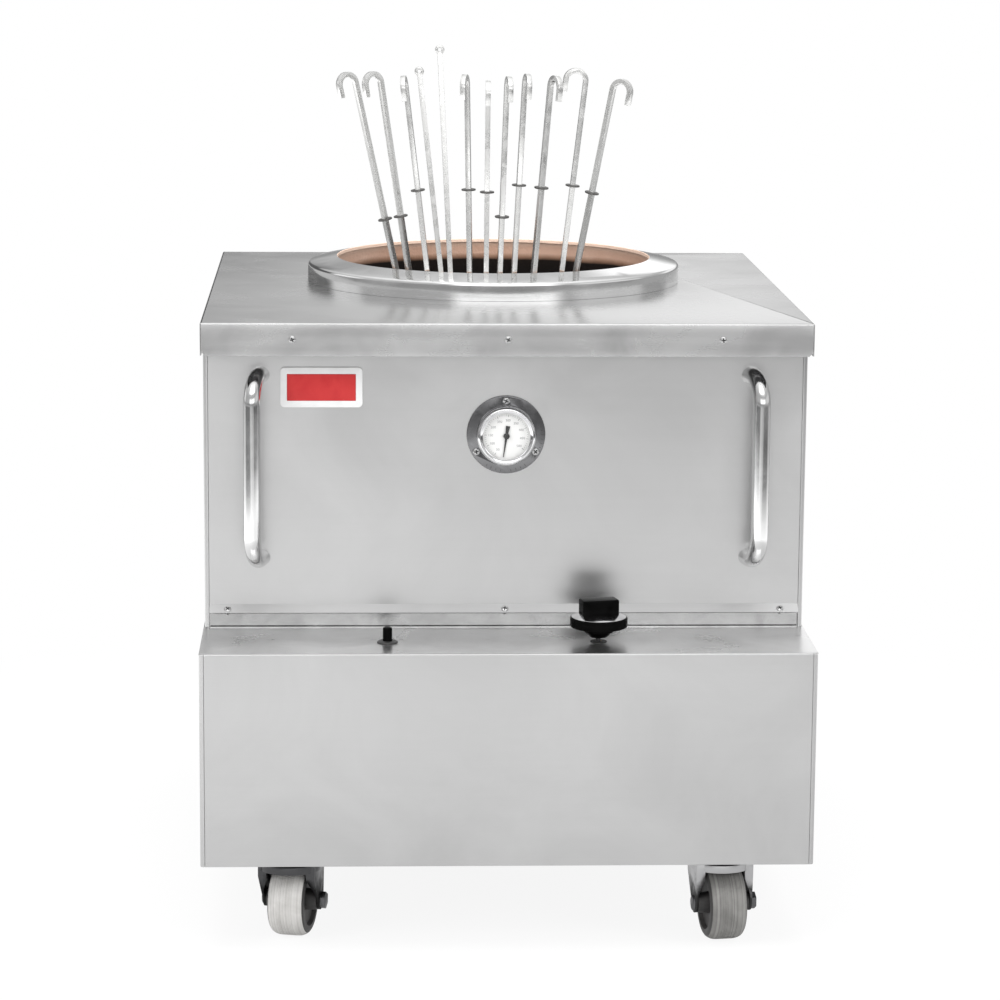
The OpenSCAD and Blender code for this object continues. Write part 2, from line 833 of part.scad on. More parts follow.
module burner() {
    r = burner_d / 2;
    color("dimgray")
        translate([0, pot_y, burner_z]) {
            difference() {
                union() {
                    rotate_extrude()
                        translate([r - 22, 0])
                            square([22, burner_h]);
                    translate([0, -r + 10, burner_h / 2])
                        rotate([90, 0, 0])
                            cylinder(d = feed_d + 6, h = venturi_l - 10);
                    translate([0, -r - venturi_l + 30, burner_h / 2])
                        rotate([90, 0, 0])
                            cylinder(d1 = feed_d + 6, d2 = 34, h = 30);
                }
                for (a = [0:15:345])
                    rotate([0, 0, a])
                        translate([r - 11, 0, burner_h - 5])
                            cylinder(d = 4, h = 5 + cut);
                translate([0, -r - venturi_l, burner_h / 2])
                    rotate([90, 0, 0])
                        translate([0, 0, -feed_in - feed_d])
                            cylinder(d = feed_d + 2 * hole_gap, h = feed_in + feed_d + cut);
            }
            for (x = [-1, 1])
                translate([x * (r - 11), 0, 0])
                    burner_leg();
        }
}

// Leg from the floor pan up to the burner
module burner_leg() {
    leg_h = burner_z - pan_z - pan_t;
    translate([0, 0, -leg_h])
        cylinder(d = 8, h = leg_h + 2);
    translate([0, 0, -leg_h])
        cylinder(d = 24, h = 3);
}

// Pilot light and spark electrode on one bracket, with the pilot's own gas tube
module pilot() {
    tube_y = knob_y + valve_w * 0.4 + 12;
    tube_z = burner_z - 30;
    color("silver") {
        translate([0, pot_y, burner_z]) {
            translate([burner_d / 2 - 6, -6, -3])
                cube([pilot_x + 6 - burner_d / 2 + 6, electrode_y + 12, 3]);
            translate([pilot_x, 0, 0])
                cylinder(d = 8, h = burner_h + 6);
            translate([pilot_x, electrode_y, -electrode_drop])
                cylinder(d = 5, h = electrode_drop + burner_h);
        }
        run([[pilot_x, pot_y, burner_z - 2], [pilot_x, pot_y, tube_z],
             [pilot_x, tube_y, tube_z], [pilot_x, tube_y, feed_z - 8],
             [knob_x, tube_y, feed_z - 8]], 4);
        link([knob_x, tube_y, feed_z - 8], [knob_x, knob_y + valve_w * 0.4 + 2, feed_z - 8], 4, 1);
    }
}

module igniter_lead() {
    turn_y = pot_y - burner_d;
    end_z = burner_z - electrode_drop - 1.5 - 0.1;
    color("dimgray")
        run([[-igniter_x, igniter_y, shelf_z - igniter_depth], [-igniter_x, igniter_y, lead_z],
             [-igniter_x, turn_y, lead_z], [pilot_x, turn_y, lead_z],
             [pilot_x, pot_y + electrode_y, lead_z], [pilot_x, pot_y + electrode_y, end_z]], 3);
}

module feed_pipe() {
    color("goldenrod")
        run([[knob_x - valve_w / 2, knob_y, feed_z], [0, knob_y, feed_z],
             [0, knob_y, burner_z + burner_h / 2],
             [0, pot_y - burner_d / 2 - venturi_l + feed_in, burner_z + burner_h / 2]], feed_d);
}

module supply_pipe() {
    nipple_y = back_y - sheet - 4 - nipple_l;
    valve_side = knob_x + valve_w / 2;
    color("dimgray") {
        translate([inlet_x, nipple_y, inlet_z])
            rotate([-90, 0, 0]) {
                cylinder(d = pipe_d, h = nipple_l);
                translate([0, 0, -14])
                    cylinder(d = hex_d, h = 14, $fn = 6);
            }
        run([[inlet_x, nipple_y, inlet_z], [inlet_x, knob_y, inlet_z],
             [inlet_x, knob_y, feed_z]], pipe_d * 0.8, elbow);
        link([inlet_x, knob_y, feed_z], [valve_side + pipe_d * 0.3 + rest_gap, knob_y, feed_z],
             pipe_d * 0.6, 1);
        translate([valve_side, knob_y, feed_z])
            rotate([0, 90, 0])
                cylinder(d = pipe_d, h = 16, $fn = 6);
        translate([inlet_x - pipe_d / 2, nipple_y - stay_in, pan_z + pan_t])
            cube([pipe_d, stay_w, inlet_z - pan_z - pan_t]);
    }
}

// ---------- gas controls ----------

module valve_body() {
    color("goldenrod")
        translate([knob_x, knob_y, 0])
            difference() {
                union() {
                    translate([0, 0, valve_top - valve_h / 2])
                        cube([valve_w, valve_w * 0.8, valve_h], center = true);
                    translate([0, 0, valve_top - 2])
                        cylinder(d = neck_d, h = 2 + sheet + neck_up);
                }
                translate([0, 0, valve_top - valve_h + 6])
                    cylinder(d = core_d + 2 * run_gap, h = valve_h - 12);
                translate([0, 0, valve_top - 12])
                    cylinder(d = stem_d + 2 * run_gap, h = 12 + sheet + neck_up + cut);
            }
}

// Turning core inside the valve, with the keyed socket that the stem slides in
module valve_core() {
    core_z = valve_top - valve_h + 6 + rest_gap;
    color("goldenrod")
        translate([knob_x, knob_y, core_z])
            difference() {
                cylinder(d = core_d, h = valve_h - 12 - 2 * rest_gap - 6);
                translate([0, 0, 14])
                    linear_extrude(valve_h)
                        stem_section(run_gap);
            }
}

// Round stem with one flat, so that the stem turns its core
module stem_section(gap) {
    difference() {
        circle(d = stem_d + 2 * gap);
        translate([stem_d * 0.3 + gap, -stem_d])
            square([stem_d, 2 * stem_d]);
    }
}

module valve_stem() {
    core_z = valve_top - valve_h + 6 + rest_gap;
    stem_z = core_z + 14 + knob_push + 1;
    color("silver")
        translate([knob_x, knob_y, stem_z])
            linear_extrude(knob_z + knob_skirt_h * 0.8 - stem_z)
                stem_section(0);
}

module gas_knob() {
    r = knob_d / 2;
    h = knob_skirt_h;
    band_h = h - knob_cone_h;
    color([0.05, 0.05, 0.05])
        translate([knob_x, knob_y, knob_z])
            difference() {
                union() {
                    rotate_extrude()
                        polygon([[0, -boss_h], [r * 0.3, -boss_h], [r * 0.5, -boss_h / 2], [r * 0.5, 0],
                                 [r - 1, 0], [r, 1], [r, band_h - 1], [r - 1, band_h],
                                 [r * 0.55, h], [0, h]]);
                    rotate([0, 0, grip_turn])
                        translate([0, 0, band_h - 1])
                            linear_extrude(grip_h + knob_cone_h + 1)
                                rounded_plan(grip_l, grip_w, 3);
                }
                translate([0, 0, -boss_h - cut])
                    linear_extrude(boss_h + cut + h * 0.8 + rest_gap)
                        stem_section(run_gap);
            }
}

module igniter_body() {
    body_d = button_d + 6;
    color("silver")
        translate([-igniter_x, igniter_y, 0])
            difference() {
                union() {
                    translate([0, 0, shelf_z])
                        cylinder(d = ring_d, h = ring_h - 1.5);
                    translate([0, 0, shelf_z + ring_h - 1.5])
                        cylinder(d1 = ring_d, d2 = ring_d - 6, h = 1.5);
                    translate([0, 0, shelf_z - igniter_depth])
                        cylinder(d = body_d, h = igniter_depth + 1);
                    translate([0, 0, shelf_z - sheet - 5])
                        cylinder(d = ring_d - 2, h = 5, $fn = 6);
                }
                translate([0, 0, shelf_z - 20 - button_push])
                    cylinder(d = button_d + 2 * run_gap, h = 20 + button_push + ring_h + cut);
            }
}

module igniter_button() {
    color([0.05, 0.05, 0.05])
        translate([-igniter_x, igniter_y, shelf_z - 18])
            rotate_extrude()
                polygon(concat(
                    [[0, 0], [button_d / 2, 0]],
                    [for (a = [0:15:75]) [button_d / 2 - 2 + 2 * cos(a),
                                          18 + ring_h + button_h - 2 + 2 * sin(a)]],
                    [[0, 18 + ring_h + button_h]]));
}

// ---------- fittings on the front ----------

module thermometer_flange() {
    color("silver")
        difference() {
            at_dial()
                difference() {
                    cylinder(d = flange_d, h = flange_t);
                    translate([0, 0, -cut])
                        cylinder(d = probe_d + 8 + 2 * hole_gap, h = flange_t + 2 * cut);
                }
            at_flange_screws()
                translate([0, 0, -flange_t - cut])
                    cylinder(d = screw_d + 2 * hole_gap, h = flange_t + 2 * cut);
        }
}

// Cup with its bezel, and the probe that it carries
module thermometer_case() {
    r = bezel_d / 2;
    front = flange_t + bezel_h;
    color("silver")
        at_dial() {
            rotate_extrude()
                polygon([[0, flange_t], [r - 2, flange_t], [r, flange_t + 2], [r, front - 2],
                         [r - 2, front], [r - bezel_ring + 1.5, front],
                         [r - bezel_ring, front - 1.5],
                         [r - bezel_ring, glass_y + glass_t + fit_gap],
                         [r - case_wall, glass_y + glass_t + fit_gap],
                         [r - case_wall, flange_t + case_back], [0, flange_t + case_back]]);
            translate([0, 0, -probe_l])
                cylinder(d = probe_d, h = probe_l + flange_t + 1);
            translate([0, 0, 0])
                cylinder(d = probe_d + 8, h = flange_t + 1);
        }
}

module thermometer_dial() {
    color("white")
        at_dial() {
            translate([0, 0, dial_y])
                cylinder(r = dial_r, h = dial_t);
            translate([0, 0, flange_t + case_back])
                difference() {
                    cylinder(r = dial_r, h = dial_y - flange_t - case_back + dial_t / 2);
                    translate([0, 0, -cut])
                        cylinder(r = dial_r - 3, h = dial_y - flange_t - case_back + cut);
                }
            translate([0, 0, dial_y])
                cylinder(d = 3, h = dial_t + 1);
        }
}

module thermometer_needle() {
    color([0.08, 0.08, 0.08])
        at_dial()
            translate([0, 0, dial_y + dial_t + rest_gap])
                rotate([0, 0, needle_rest])
                    difference() {
                        linear_extrude(needle_t) {
                            circle(d = 8);
                            polygon([[0, -1.6], [dial_r - 9, -0.4], [dial_r - 9, 0.4], [0, 1.6],
                                     [-14, 3], [-14, -3]]);
                        }
                        translate([0, 0, -cut])
                            cylinder(d = 3 + 2 * run_gap, h = needle_t + 2 * cut);
                    }
}

module thermometer_glass() {
    color([0.8, 0.9, 0.95, 0.3])
        at_dial() {
            translate([0, 0, glass_y])
                cylinder(r = dial_r, h = glass_t);
        }
}

// Tube with two bends, drawn upright in the plane that leans outwards
module handle(side) {
    r = handle_d / 2;
    half = handle_l / 2;
    b = handle_bend;
    color("gainsboro")
        difference() {
            translate([side * handle_x, body_y, top_z - handle_drop])
                rotate([0, 0, side * handle_lean]) {
                    translate([0, -handle_reach, -half + b])
                        cylinder(r = r, h = handle_l - 2 * b);
                    for (s = [0, 1])
                        mirror([0, 0, s]) {
                            translate([0, -handle_reach + b, half])
                                rotate([-90, 0, 0])
                                    cylinder(r = r, h = handle_reach - b + handle_d);
                            translate([0, -handle_reach + b, half - b])
                                rotate([90, 0, -90])
                                    rotate_extrude(angle = 90)
                                        translate([b, 0])
                                            circle(r);
                        }
                }
            translate([side * handle_x, body_y + 2 * handle_d, top_z - handle_drop])
                cube([6 * handle_d, 4 * handle_d, 2 * handle_l], center = true);
        }
}

module handle_left() {
    handle(-1);
}

module handle_right() {
    handle(1);
}

module name_plate() {
    color("whitesmoke")
        translate([-plate_x, body_y, top_z - plate_drop])
            rotate([90, 0, 0]) {
                linear_extrude(plate_t)
                    rounded_plan(plate_w, plate_h, plate_r);
                translate([0, 0, plate_t])
                    linear_extrude(field_h)
                        rounded_plan(plate_w - 2 * plate_margin, plate_h - 2 * plate_margin, 1.5);
            }
}

module panel_screws() {
    color("silver") {
        at_skirt_screws()
            screw();
        at_drip_screws()
            screw();
        at_flange_screws()
            screw();
    }
}

// ---------- casters ----------

module at_casters() {
    for (c = CASTERS)
        translate([c[0], c[1], caster_plate_z])
            children();
}

module at_caster_bolts() {
    at_casters()
        for (x = [-1, 1], y = [-1, 1])
            translate([x * (plate_across / 2 - bolt_edge), y * (plate_along / 2 - bolt_edge), 0])
                children();
}

module caster_plates() {
    color("dimgray")
        difference() {
            at_casters() {
                linear_extrude(caster_t)
                    rounded_plan(plate_across, plate_along, 6);
                translate([0, 0, -race_h])
                    cylinder(d = race_d, h = race_h);
                translate([0, 0, -race_h - rest_gap - fork_t - rest_gap])
                    cylinder(d = kingpin_d, h = race_h + 1);
                translate([0, 0, -race_h - 2 * rest_gap - fork_t - pin_foot_t])
                    cylinder(d = kingpin_d + 8, h = pin_foot_t);
            }
            at_caster_bolts()
                translate([0, 0, -cut])
                    cylinder(d = bolt_d + 2 * hole_gap, h = caster_t + 2 * cut);
        }
}

module caster_bolts() {
    color("gainsboro")
        at_caster_bolts() {
            translate([0, 0, -head_h])
                cylinder(d = head_d, h = head_h, $fn = 6);
            translate([0, 0, -1])
                cylinder(d = bolt_d, h = caster_t + pan_t + nut_h + 3);
            translate([0, 0, caster_t + pan_t])
                cylinder(d = head_d, h = nut_h, $fn = 6);
        }
}

// Frame of one caster: the kingpin is the axis, the axle lies in front by the trail
module at_caster(c) {
    translate([c[0], c[1], 0])
        rotate([0, 0, c[2]])
            children();
}

// Pressed fork: a crown with a rim turned down, and two legs with flanges turned inwards
module fork(c) {
    front = -fork_depth / 2 - trail / 4;
    back = fork_depth / 2 - trail / 4;
    low = -trail;
    color("dimgray")
        at_caster(c)
            difference() {
                union() {
                    translate([0, 0, crown_z])
                        cylinder(d = crown_d, h = fork_t);
                    difference() {
                        translate([0, 0, crown_z - crown_rim_h])
                            cylinder(d = crown_d, h = crown_rim_h + 1);
                        translate([0, 0, crown_z - crown_rim_h - cut])
                            cylinder(d = crown_d - 2 * fork_t, h = crown_rim_h + cut);
                    }
                    translate([0, (front + back) / 2, crown_z + fork_t / 2])
                        cube([fork_w, fork_depth, fork_t], center = true);
                    for (s = [-1, 1])
                        translate([s * (fork_w - fork_t) / 2, 0, 0])
                            across(fork_t) {
                                polygon([[front, crown_top], [front, crown_z - 12], [low - 13, axle_z],
                                         [low + 13, axle_z], [back, crown_z - 16], [back, crown_top]]);
                                translate([low, axle_z])
                                    circle(13);
                            }
                    difference() {
                        across(fork_w) {
                            polygon([[front, crown_z + 1], [front, crown_z - 12], [low - 13, axle_z],
                                     [low - 13 + fork_t, axle_z], [front + fork_t, crown_z - 12],
                                     [front + fork_t, crown_z + 1]]);
                            polygon([[back, crown_z + 1], [back, crown_z - 16], [low + 13, axle_z],
                                     [low + 13 - fork_t, axle_z], [back - fork_t, crown_z - 16],
                                     [back - fork_t, crown_z + 1]]);
                        }
                        fork_window();
                    }
                }
                translate([0, 0, crown_z - cut])
                    cylinder(d = kingpin_d + 2 * run_gap, h = fork_t + 2 * cut);
                translate([0, -trail, axle_z])
                    rotate([0, 90, 0])
                        cylinder(d = axle_d + 2 * run_gap, h = 2 * fork_w, center = true);
            }
}

// Room for the wheel between the flanges, wider towards the axle
module fork_window() {
    top_w = wheel_w / 2 + 2;
    leg_in = fork_w / 2 - fork_t;
    low = axle_z + hub_d / 2 + 1;
    half = [[top_w, wheel_d + 1], [top_w + 0.5, wheel_d * 0.85], [(top_w + leg_in) / 2, wheel_d * 0.75],
            [leg_in, low], [leg_in, 0]];
    rotate([90, 0, 0])
        linear_extrude(4 * fork_depth, center = true)
            polygon(concat(half, [for (i = [len(half) - 1:-1:0]) [-half[i][0], half[i][1]]]));
}

// Axle bolt: the nut is on the side that lies to the right at rest, a low head on the other
module axle(c) {
    nut_side = cos(c[2]) > 0 ? 1 : -1;
    color("gainsboro")
        at_caster(c)
            translate([0, -trail, axle_z])
                rotate([0, 90 * nut_side, 0]) {
                    cylinder(d = axle_d, h = fork_w + 2, center = true);
                    translate([0, 0, fork_w / 2])
                        cylinder(d = axle_nut_d, h = nut_h, $fn = 6);
                    translate([0, 0, -fork_w / 2 - axle_head_h])
                        cylinder(d1 = axle_nut_d - 5, d2 = axle_nut_d - 2, h = axle_head_h);
                }
}

module wheel(c) {
    r = wheel_d / 2;
    w = wheel_w / 2;
    edge = [for (a = [0:15:90]) [r - tread_drop + tread_drop * sin(a), w - tread_edge + tread_edge * cos(a)]];
    color("gray")
        at_caster(c)
            translate([0, -trail, axle_z])
                rotate([0, 90, 0])
                    rotate_extrude()
                        polygon(concat(
                            [[axle_d / 2 + run_gap, -hub_w / 2], [hub_d / 2, -hub_w / 2],
                             [hub_d / 2 + 2, -w + 6], [r * 0.66, -w + 5], [r * 0.72, -w]],
                            [for (e = edge) [e[0], -e[1]]],
                            [for (i = [len(edge) - 1:-1:0]) edge[i]],
                            [[r * 0.72, w], [r * 0.66, w - 5], [hub_d / 2 + 2, w - 6],
                             [hub_d / 2, hub_w / 2], [axle_d / 2 + run_gap, hub_w / 2]]));
}

module fork_front_left() { fork(FRONT_LEFT); }
module fork_front_right() { fork(FRONT_RIGHT); }
module fork_back_left() { fork(BACK_LEFT); }
module fork_back_right() { fork(BACK_RIGHT); }
module axle_front_left() { axle(FRONT_LEFT); }
module axle_front_right() { axle(FRONT_RIGHT); }
module axle_back_left() { axle(BACK_LEFT); }
module axle_back_right() { axle(BACK_RIGHT); }
module wheel_front_left() { wheel(FRONT_LEFT); }
module wheel_front_right() { wheel(FRONT_RIGHT); }
module wheel_back_left() { wheel(BACK_LEFT); }
module wheel_back_right() { wheel(BACK_RIGHT); }

// ---------- skewers ----------

// Square rod with a point, a stop disc, and a hook or a small eye at the top
module skewer(s) {
    foot = skewer_foot(s);
    v = skewer_rim(s) - foot;
    to_rim = norm(v);
    bearing = atan2(v[1], v[0]);
    eyed = s[4] == 0;
    end = to_rim + s[3] - (eyed ? eye_r + 2 : hook_r + rod / 2);
    color("silver")
        translate(foot)
            rotate([0, acos(v[2] / to_rim), bearing])
                rotate([0, 0, s[5] - bearing]) {
                    cylinder(d1 = 2, d2 = rod, h = point_l);
                    translate([-rod / 2, -rod / 2, point_l])
                        cube([rod, rod, end - point_l]);
                    if (eyed)
                        translate([0, 0, end + eye_r])
                            rotate([90, 0, 0])
                                rotate_extrude($fn = 32)
                                    translate([eye_r, 0])
                                        circle(2, $fn = 24);
                    if (!eyed) {
                        translate([hook_r, 0, end])
                            rotate([90, 0, 0])
                                rotate_extrude(angle = 180)
                                    translate([hook_r, 0])
                                        square(rod, center = true);
                        translate([2 * hook_r - rod / 2, -rod / 2, end - hook_tail])
                            cube([rod, rod, hook_tail]);
                        translate([0, 0, to_rim + s[4] - guard_t])
                            cylinder(d = guard_d, h = guard_t);
                    }
                }
}

module skewer_01() { skewer(SKEWERS[0]); }
module skewer_02() { skewer(SKEWERS[1]); }
module skewer_03() { skewer(SKEWERS[2]); }
module skewer_04() { skewer(SKEWERS[3]); }
module skewer_05() { skewer(SKEWERS[4]); }
module skewer_06() { skewer(SKEWERS[5]); }
module skewer_07() { skewer(SKEWERS[6]); }
module skewer_08() { skewer(SKEWERS[7]); }
module skewer_09() { skewer(SKEWERS[8]); }
module skewer_10() { skewer(SKEWERS[9]); }
module skewer_11() { skewer(SKEWERS[10]); }
module skewer_12() { skewer(SKEWERS[11]); }

base_front();
base_shell();
floor_pan();
frame();
body_front();
body_shell();
riser_strip();
top_cover();
collar();
clay_pot();
insulation();
hearth_plate();
flame_deflector();
burner();
supply_pipe();
feed_pipe();
valve_body();
valve_core();
valve_stem();
gas_knob();
igniter_body();
igniter_button();
igniter_lead();
pilot();
thermometer_flange();
thermometer_case();
thermometer_dial();
thermometer_needle();
thermometer_glass();
handle_left();
handle_right();
name_plate();
panel_screws();
caster_plates();
caster_bolts();
fork_front_left();
fork_front_right();
fork_back_left();
fork_back_right();
axle_front_left();
axle_front_right();
axle_back_left();
axle_back_right();
wheel_front_left();
wheel_front_right();
wheel_back_left();
wheel_back_right();
skewer_01();
skewer_02();
skewer_03();
skewer_04();
skewer_05();
skewer_06();
skewer_07();
skewer_08();
skewer_09();
skewer_10();
skewer_11();
skewer_12();
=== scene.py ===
"""Looks of a gas clay oven in a sheet-steel cabinet on casters.
Metres, +Z up, the front faces -Y."""
import json
import math

import bmesh
import bpy
from mathutils import Matrix, Vector


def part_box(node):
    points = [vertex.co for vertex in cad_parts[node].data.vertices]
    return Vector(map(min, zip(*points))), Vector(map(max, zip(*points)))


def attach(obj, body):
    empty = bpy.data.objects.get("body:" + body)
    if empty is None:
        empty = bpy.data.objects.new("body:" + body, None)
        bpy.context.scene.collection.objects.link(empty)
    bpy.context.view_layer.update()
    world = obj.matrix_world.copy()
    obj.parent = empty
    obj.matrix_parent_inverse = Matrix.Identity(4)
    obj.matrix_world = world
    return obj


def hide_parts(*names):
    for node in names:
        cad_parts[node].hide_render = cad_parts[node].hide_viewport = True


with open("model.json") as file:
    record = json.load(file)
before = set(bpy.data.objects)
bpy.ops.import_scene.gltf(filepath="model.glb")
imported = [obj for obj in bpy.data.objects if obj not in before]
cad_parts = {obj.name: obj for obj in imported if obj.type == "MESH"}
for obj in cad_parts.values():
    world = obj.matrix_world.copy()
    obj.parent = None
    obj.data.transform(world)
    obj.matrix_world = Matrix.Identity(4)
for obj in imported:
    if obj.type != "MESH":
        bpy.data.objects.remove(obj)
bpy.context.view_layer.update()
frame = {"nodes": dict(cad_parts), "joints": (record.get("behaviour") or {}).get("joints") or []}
nodes, joints = frame["nodes"], frame["joints"]

# ---------------------------------------------------------------- places taken from the frame
MM = 0.001
CORNERS = ("front_left", "front_right", "back_left", "back_right")
SKEWERS = tuple(f"skewer_{i:02d}" for i in range(1, 13))

cover_low, cover_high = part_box("top_cover")
base_low, base_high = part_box("base_front")
panel_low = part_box("body_front")[0]
TOP_Z = cover_high.z
SKIRT_KICK = 1.2 * MM     # how far the skirt's lower edge stands out
COVER_Y = cover_low.y + SKIRT_KICK
SHELF_Z = base_high.z
FRONT_Y = base_low.y
BACK_Y = cover_high.y
HALF_W = base_high.x
RIM_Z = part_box("clay_pot")[1].z
DRIP = 10 * MM            # how far the drip edge stands out, and its height
DRIP_Y, DRIP_Z = panel_low.y + DRIP / 2, panel_low.z + DRIP / 2


# ---------------------------------------------------------------- working on one mesh
def put_down():
    """Leaves edit mode with nothing selected."""
    if bpy.context.object and bpy.context.object.mode != "OBJECT":
        bpy.ops.object.mode_set(mode="OBJECT")
    bpy.ops.object.select_all(action="DESELECT")


def pick_up(obj):
    put_down()
    obj.select_set(True)
    bpy.context.view_layer.objects.active = obj


def new_piece(name):
    """Names the primitive that was just added."""
    obj = bpy.context.object
    obj.name = name
    obj.data.name = name
    return obj


def set_place(obj):
    """Moves the object's place, turn and scale into its mesh."""
    pick_up(obj)
    bpy.ops.object.transform_apply(location=True, rotation=True, scale=True)


def duplicate(obj, name):
    """A copy with its own mesh."""
    twin = obj.copy()
    twin.data = obj.data.copy()
    twin.name = name
    bpy.context.scene.collection.objects.link(twin)
    return twin


def copy_at(obj, name, matrix):
    """A copy that is moved and turned by a matrix."""
    twin = duplicate(obj, name)
    twin.matrix_world = matrix
    set_place(twin)
    return twin


def copy_of(node, name):
    """A merged copy of a CAD node, its flat faces whole again, ready to be worked on."""
    obj = duplicate(nodes[node], name)
    for key in list(obj.keys()):
        del obj[key]
    obj.parent = None
    obj.data.materials.clear()
    pick_up(obj)
    if obj.data.has_custom_normals:
        bpy.ops.mesh.customdata_custom_splitnormals_clear()
    bpy.ops.object.mode_set(mode="EDIT")
    bpy.ops.mesh.select_all(action="SELECT")
    bpy.ops.mesh.remove_doubles(threshold=3e-6)
    bpy.ops.mesh.dissolve_limited(angle_limit=math.radians(0.2))
    bpy.ops.mesh.select_all(action="DESELECT")
    put_down()
    return obj


def ease_edges(obj, width, segments=2, sharper=35.0, where=None):
    """Rounds the edges that are sharper than an angle, everywhere or where the test says."""
    pick_up(obj)
    bpy.ops.object.mode_set(mode="EDIT")
    bpy.ops.mesh.select_mode(type="EDGE")
    bpy.ops.mesh.select_all(action="DESELECT")
    bm = bmesh.from_edit_mesh(obj.data)
    least = math.radians(sharper)
    for edge in bm.edges:
        if len(edge.link_faces) == 2 and edge.calc_face_angle(0.0) > least:
            if where is None or all(where(v.co) for v in edge.verts):
                edge.select_set(True)
    bmesh.update_edit_mesh(obj.data)
    if any(edge.select for edge in bm.edges):
        bpy.ops.mesh.bevel(offset=width, segments=segments, affect="EDGES", clamp_overlap=False)
    put_down()
    return obj


def keep_inside(obj, node):
    """Sets points that the rounding of a bend pushed out of the node's box back on its faces."""
    low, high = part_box(node)
    for vertex in obj.data.vertices:
        vertex.co = [min(max(c, a), b) for c, a, b in zip(vertex.co, low, high)]
    return obj


def cut_ngons(obj):
    """Cuts faces of more than four sides into triangles, also those round a hole."""
    pick_up(obj)
    bpy.ops.object.mode_set(mode="EDIT")
    bpy.ops.mesh.select_mode(type="FACE")
    bpy.ops.mesh.select_all(action="DESELECT")
    bpy.ops.mesh.select_face_by_sides(number=4, type="GREATER", extend=False)
    bpy.ops.mesh.quads_convert_to_tris(quad_method="BEAUTY", ngon_method="BEAUTY")
    bpy.ops.mesh.select_all(action="DESELECT")
    put_down()
    return obj


def smooth(obj, angle=32.0):
    pick_up(obj)
    bpy.ops.object.shade_smooth_by_angle(angle=math.radians(angle))
    put_down()
    return obj


def lathe(name, rings, centre, axis="Z", verts=48, closed=True):
    """A turned piece: a circle is extruded from ring to ring, each ring a (radius, height).
    The axis is "Z", "-Y" or a vector. With closed=False the last ring joins the first, so
    that the piece is a hoop."""
    radius, height = rings[0]
    put_down()
    bpy.ops.mesh.primitive_circle_add(vertices=verts, radius=radius,
                                      fill_type="NGON" if closed else "NOTHING",
                                      location=(0, 0, 0))
    obj = new_piece(name)
    bpy.ops.object.mode_set(mode="EDIT")
    bpy.ops.mesh.select_mode(type="VERT")
    bpy.ops.mesh.select_all(action="SELECT")
    bpy.ops.transform.translate(value=(0, 0, height))
    extrude = bpy.ops.mesh.extrude_region_move if closed else bpy.ops.mesh.extrude_edges_move
    path = list(rings[1:]) + ([] if closed else [rings[0]])
    for r, h in path:
        extrude(TRANSFORM_OT_translate={"value": (0, 0, h - height)})
        scale = r / radius
        bpy.ops.transform.resize(value=(scale, scale, 1), center_override=(0, 0, h))
        radius, height = r, h
    bpy.ops.mesh.select_all(action="SELECT")
    bpy.ops.mesh.remove_doubles(threshold=1e-6)
    bpy.ops.mesh.normals_make_consistent(inside=False)
    put_down()
    if axis == "-Y":
        obj.rotation_euler = (math.radians(90), 0, 0)
    elif axis != "Z":
        obj.rotation_mode = "QUATERNION"
        obj.rotation_quaternion = Vector((0, 0, 1)).rotation_difference(Vector(axis))
    obj.location = centre
    set_place(obj)
    return obj


def block(name, size, centre):
    """A box of the given size."""
    put_down()
    bpy.ops.mesh.primitive_cube_add(size=1, location=centre)
    obj = new_piece(name)
    obj.scale = size
    set_place(obj)
    return obj


def joined(name, pieces):
    """One object made of several meshes."""
    put_down()
    for piece in pieces:
        piece.select_set(True)
    bpy.context.view_layer.objects.active = pieces[0]
    if len(pieces) > 1:
        bpy.ops.object.join()
    obj = bpy.context.object
    obj.name = name
    put_down()
    return obj


def cut_with(obj, tool):
    """Cuts one mesh out of another and removes the cutter."""
    pick_up(obj)
    cut = obj.modifiers.new("cut", "BOOLEAN")
    cut.operation = "DIFFERENCE"
    cut.solver = "EXACT"
    cut.object = tool
    bpy.ops.object.modifier_apply(modifier="cut")
    bpy.data.objects.remove(tool, do_unlink=True)
    put_down()
    return obj


def coat(obj, material):
    """Gives an object one material in place of any that it has."""
    obj.data.materials.clear()
    obj.data.materials.append(material)


def face_material(obj, material, where):
    """Gives the faces that pass a test another material."""
    obj.data.materials.append(material)
    index = len(obj.data.materials) - 1
    for face in obj.data.polygons:
        if where(face):
            face.material_index = index


def fit(obj, body, slot, *replaced, material=None):
    """Gives a piece its material and its body, and hides the CAD nodes that it stands for. Its
    slot is not used.
    """
    if material is not None:
        if obj.data.materials:
            obj.data.materials[0] = material
        else:
            obj.data.materials.append(material)
    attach(obj, body)
    if replaced:
        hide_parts(*replaced)
    return obj


# ---------------------------------------------------------------- node building
def lay(tree, parts, wires):
    """Adds nodes from {name: (type, {input: value}, {attribute: value})} and joins them
    with wires written as "node.output > node.input"."""
    for name, (kind, values, *rest) in parts.items():
        node = tree.nodes.new(kind)
        node.name = node.label = name
        for attribute, value in (rest[0] if rest else {}).items():
            setattr(node, attribute, value)
        for socket, value in values.items():
            node.inputs[socket].default_value = value
    for wire in wires:
        start, end = [side.strip() for side in wire.split(">")]
        a, out = start.split(".")
        b, into = end.split(".")
        source = tree.nodes[a].outputs
        target = tree.nodes[b].inputs
        tree.links.new(source[int(out)] if out.isdigit() else source[out],
                       target[int(into)] if into.isdigit() else target[into])


def set_ramp(node, stops):
    """Sets a colour ramp to a list of (place, grey or colour)."""
    ramp = node.color_ramp
    while len(ramp.elements) > 1:
        ramp.elements.remove(ramp.elements[-1])
    for i, (place, value) in enumerate(stops):
        element = ramp.elements[0] if i == 0 else ramp.elements.new(place)
        element.position = place
        element.color = (value, value, value, 1) if isinstance(value, float) else (*value, 1)


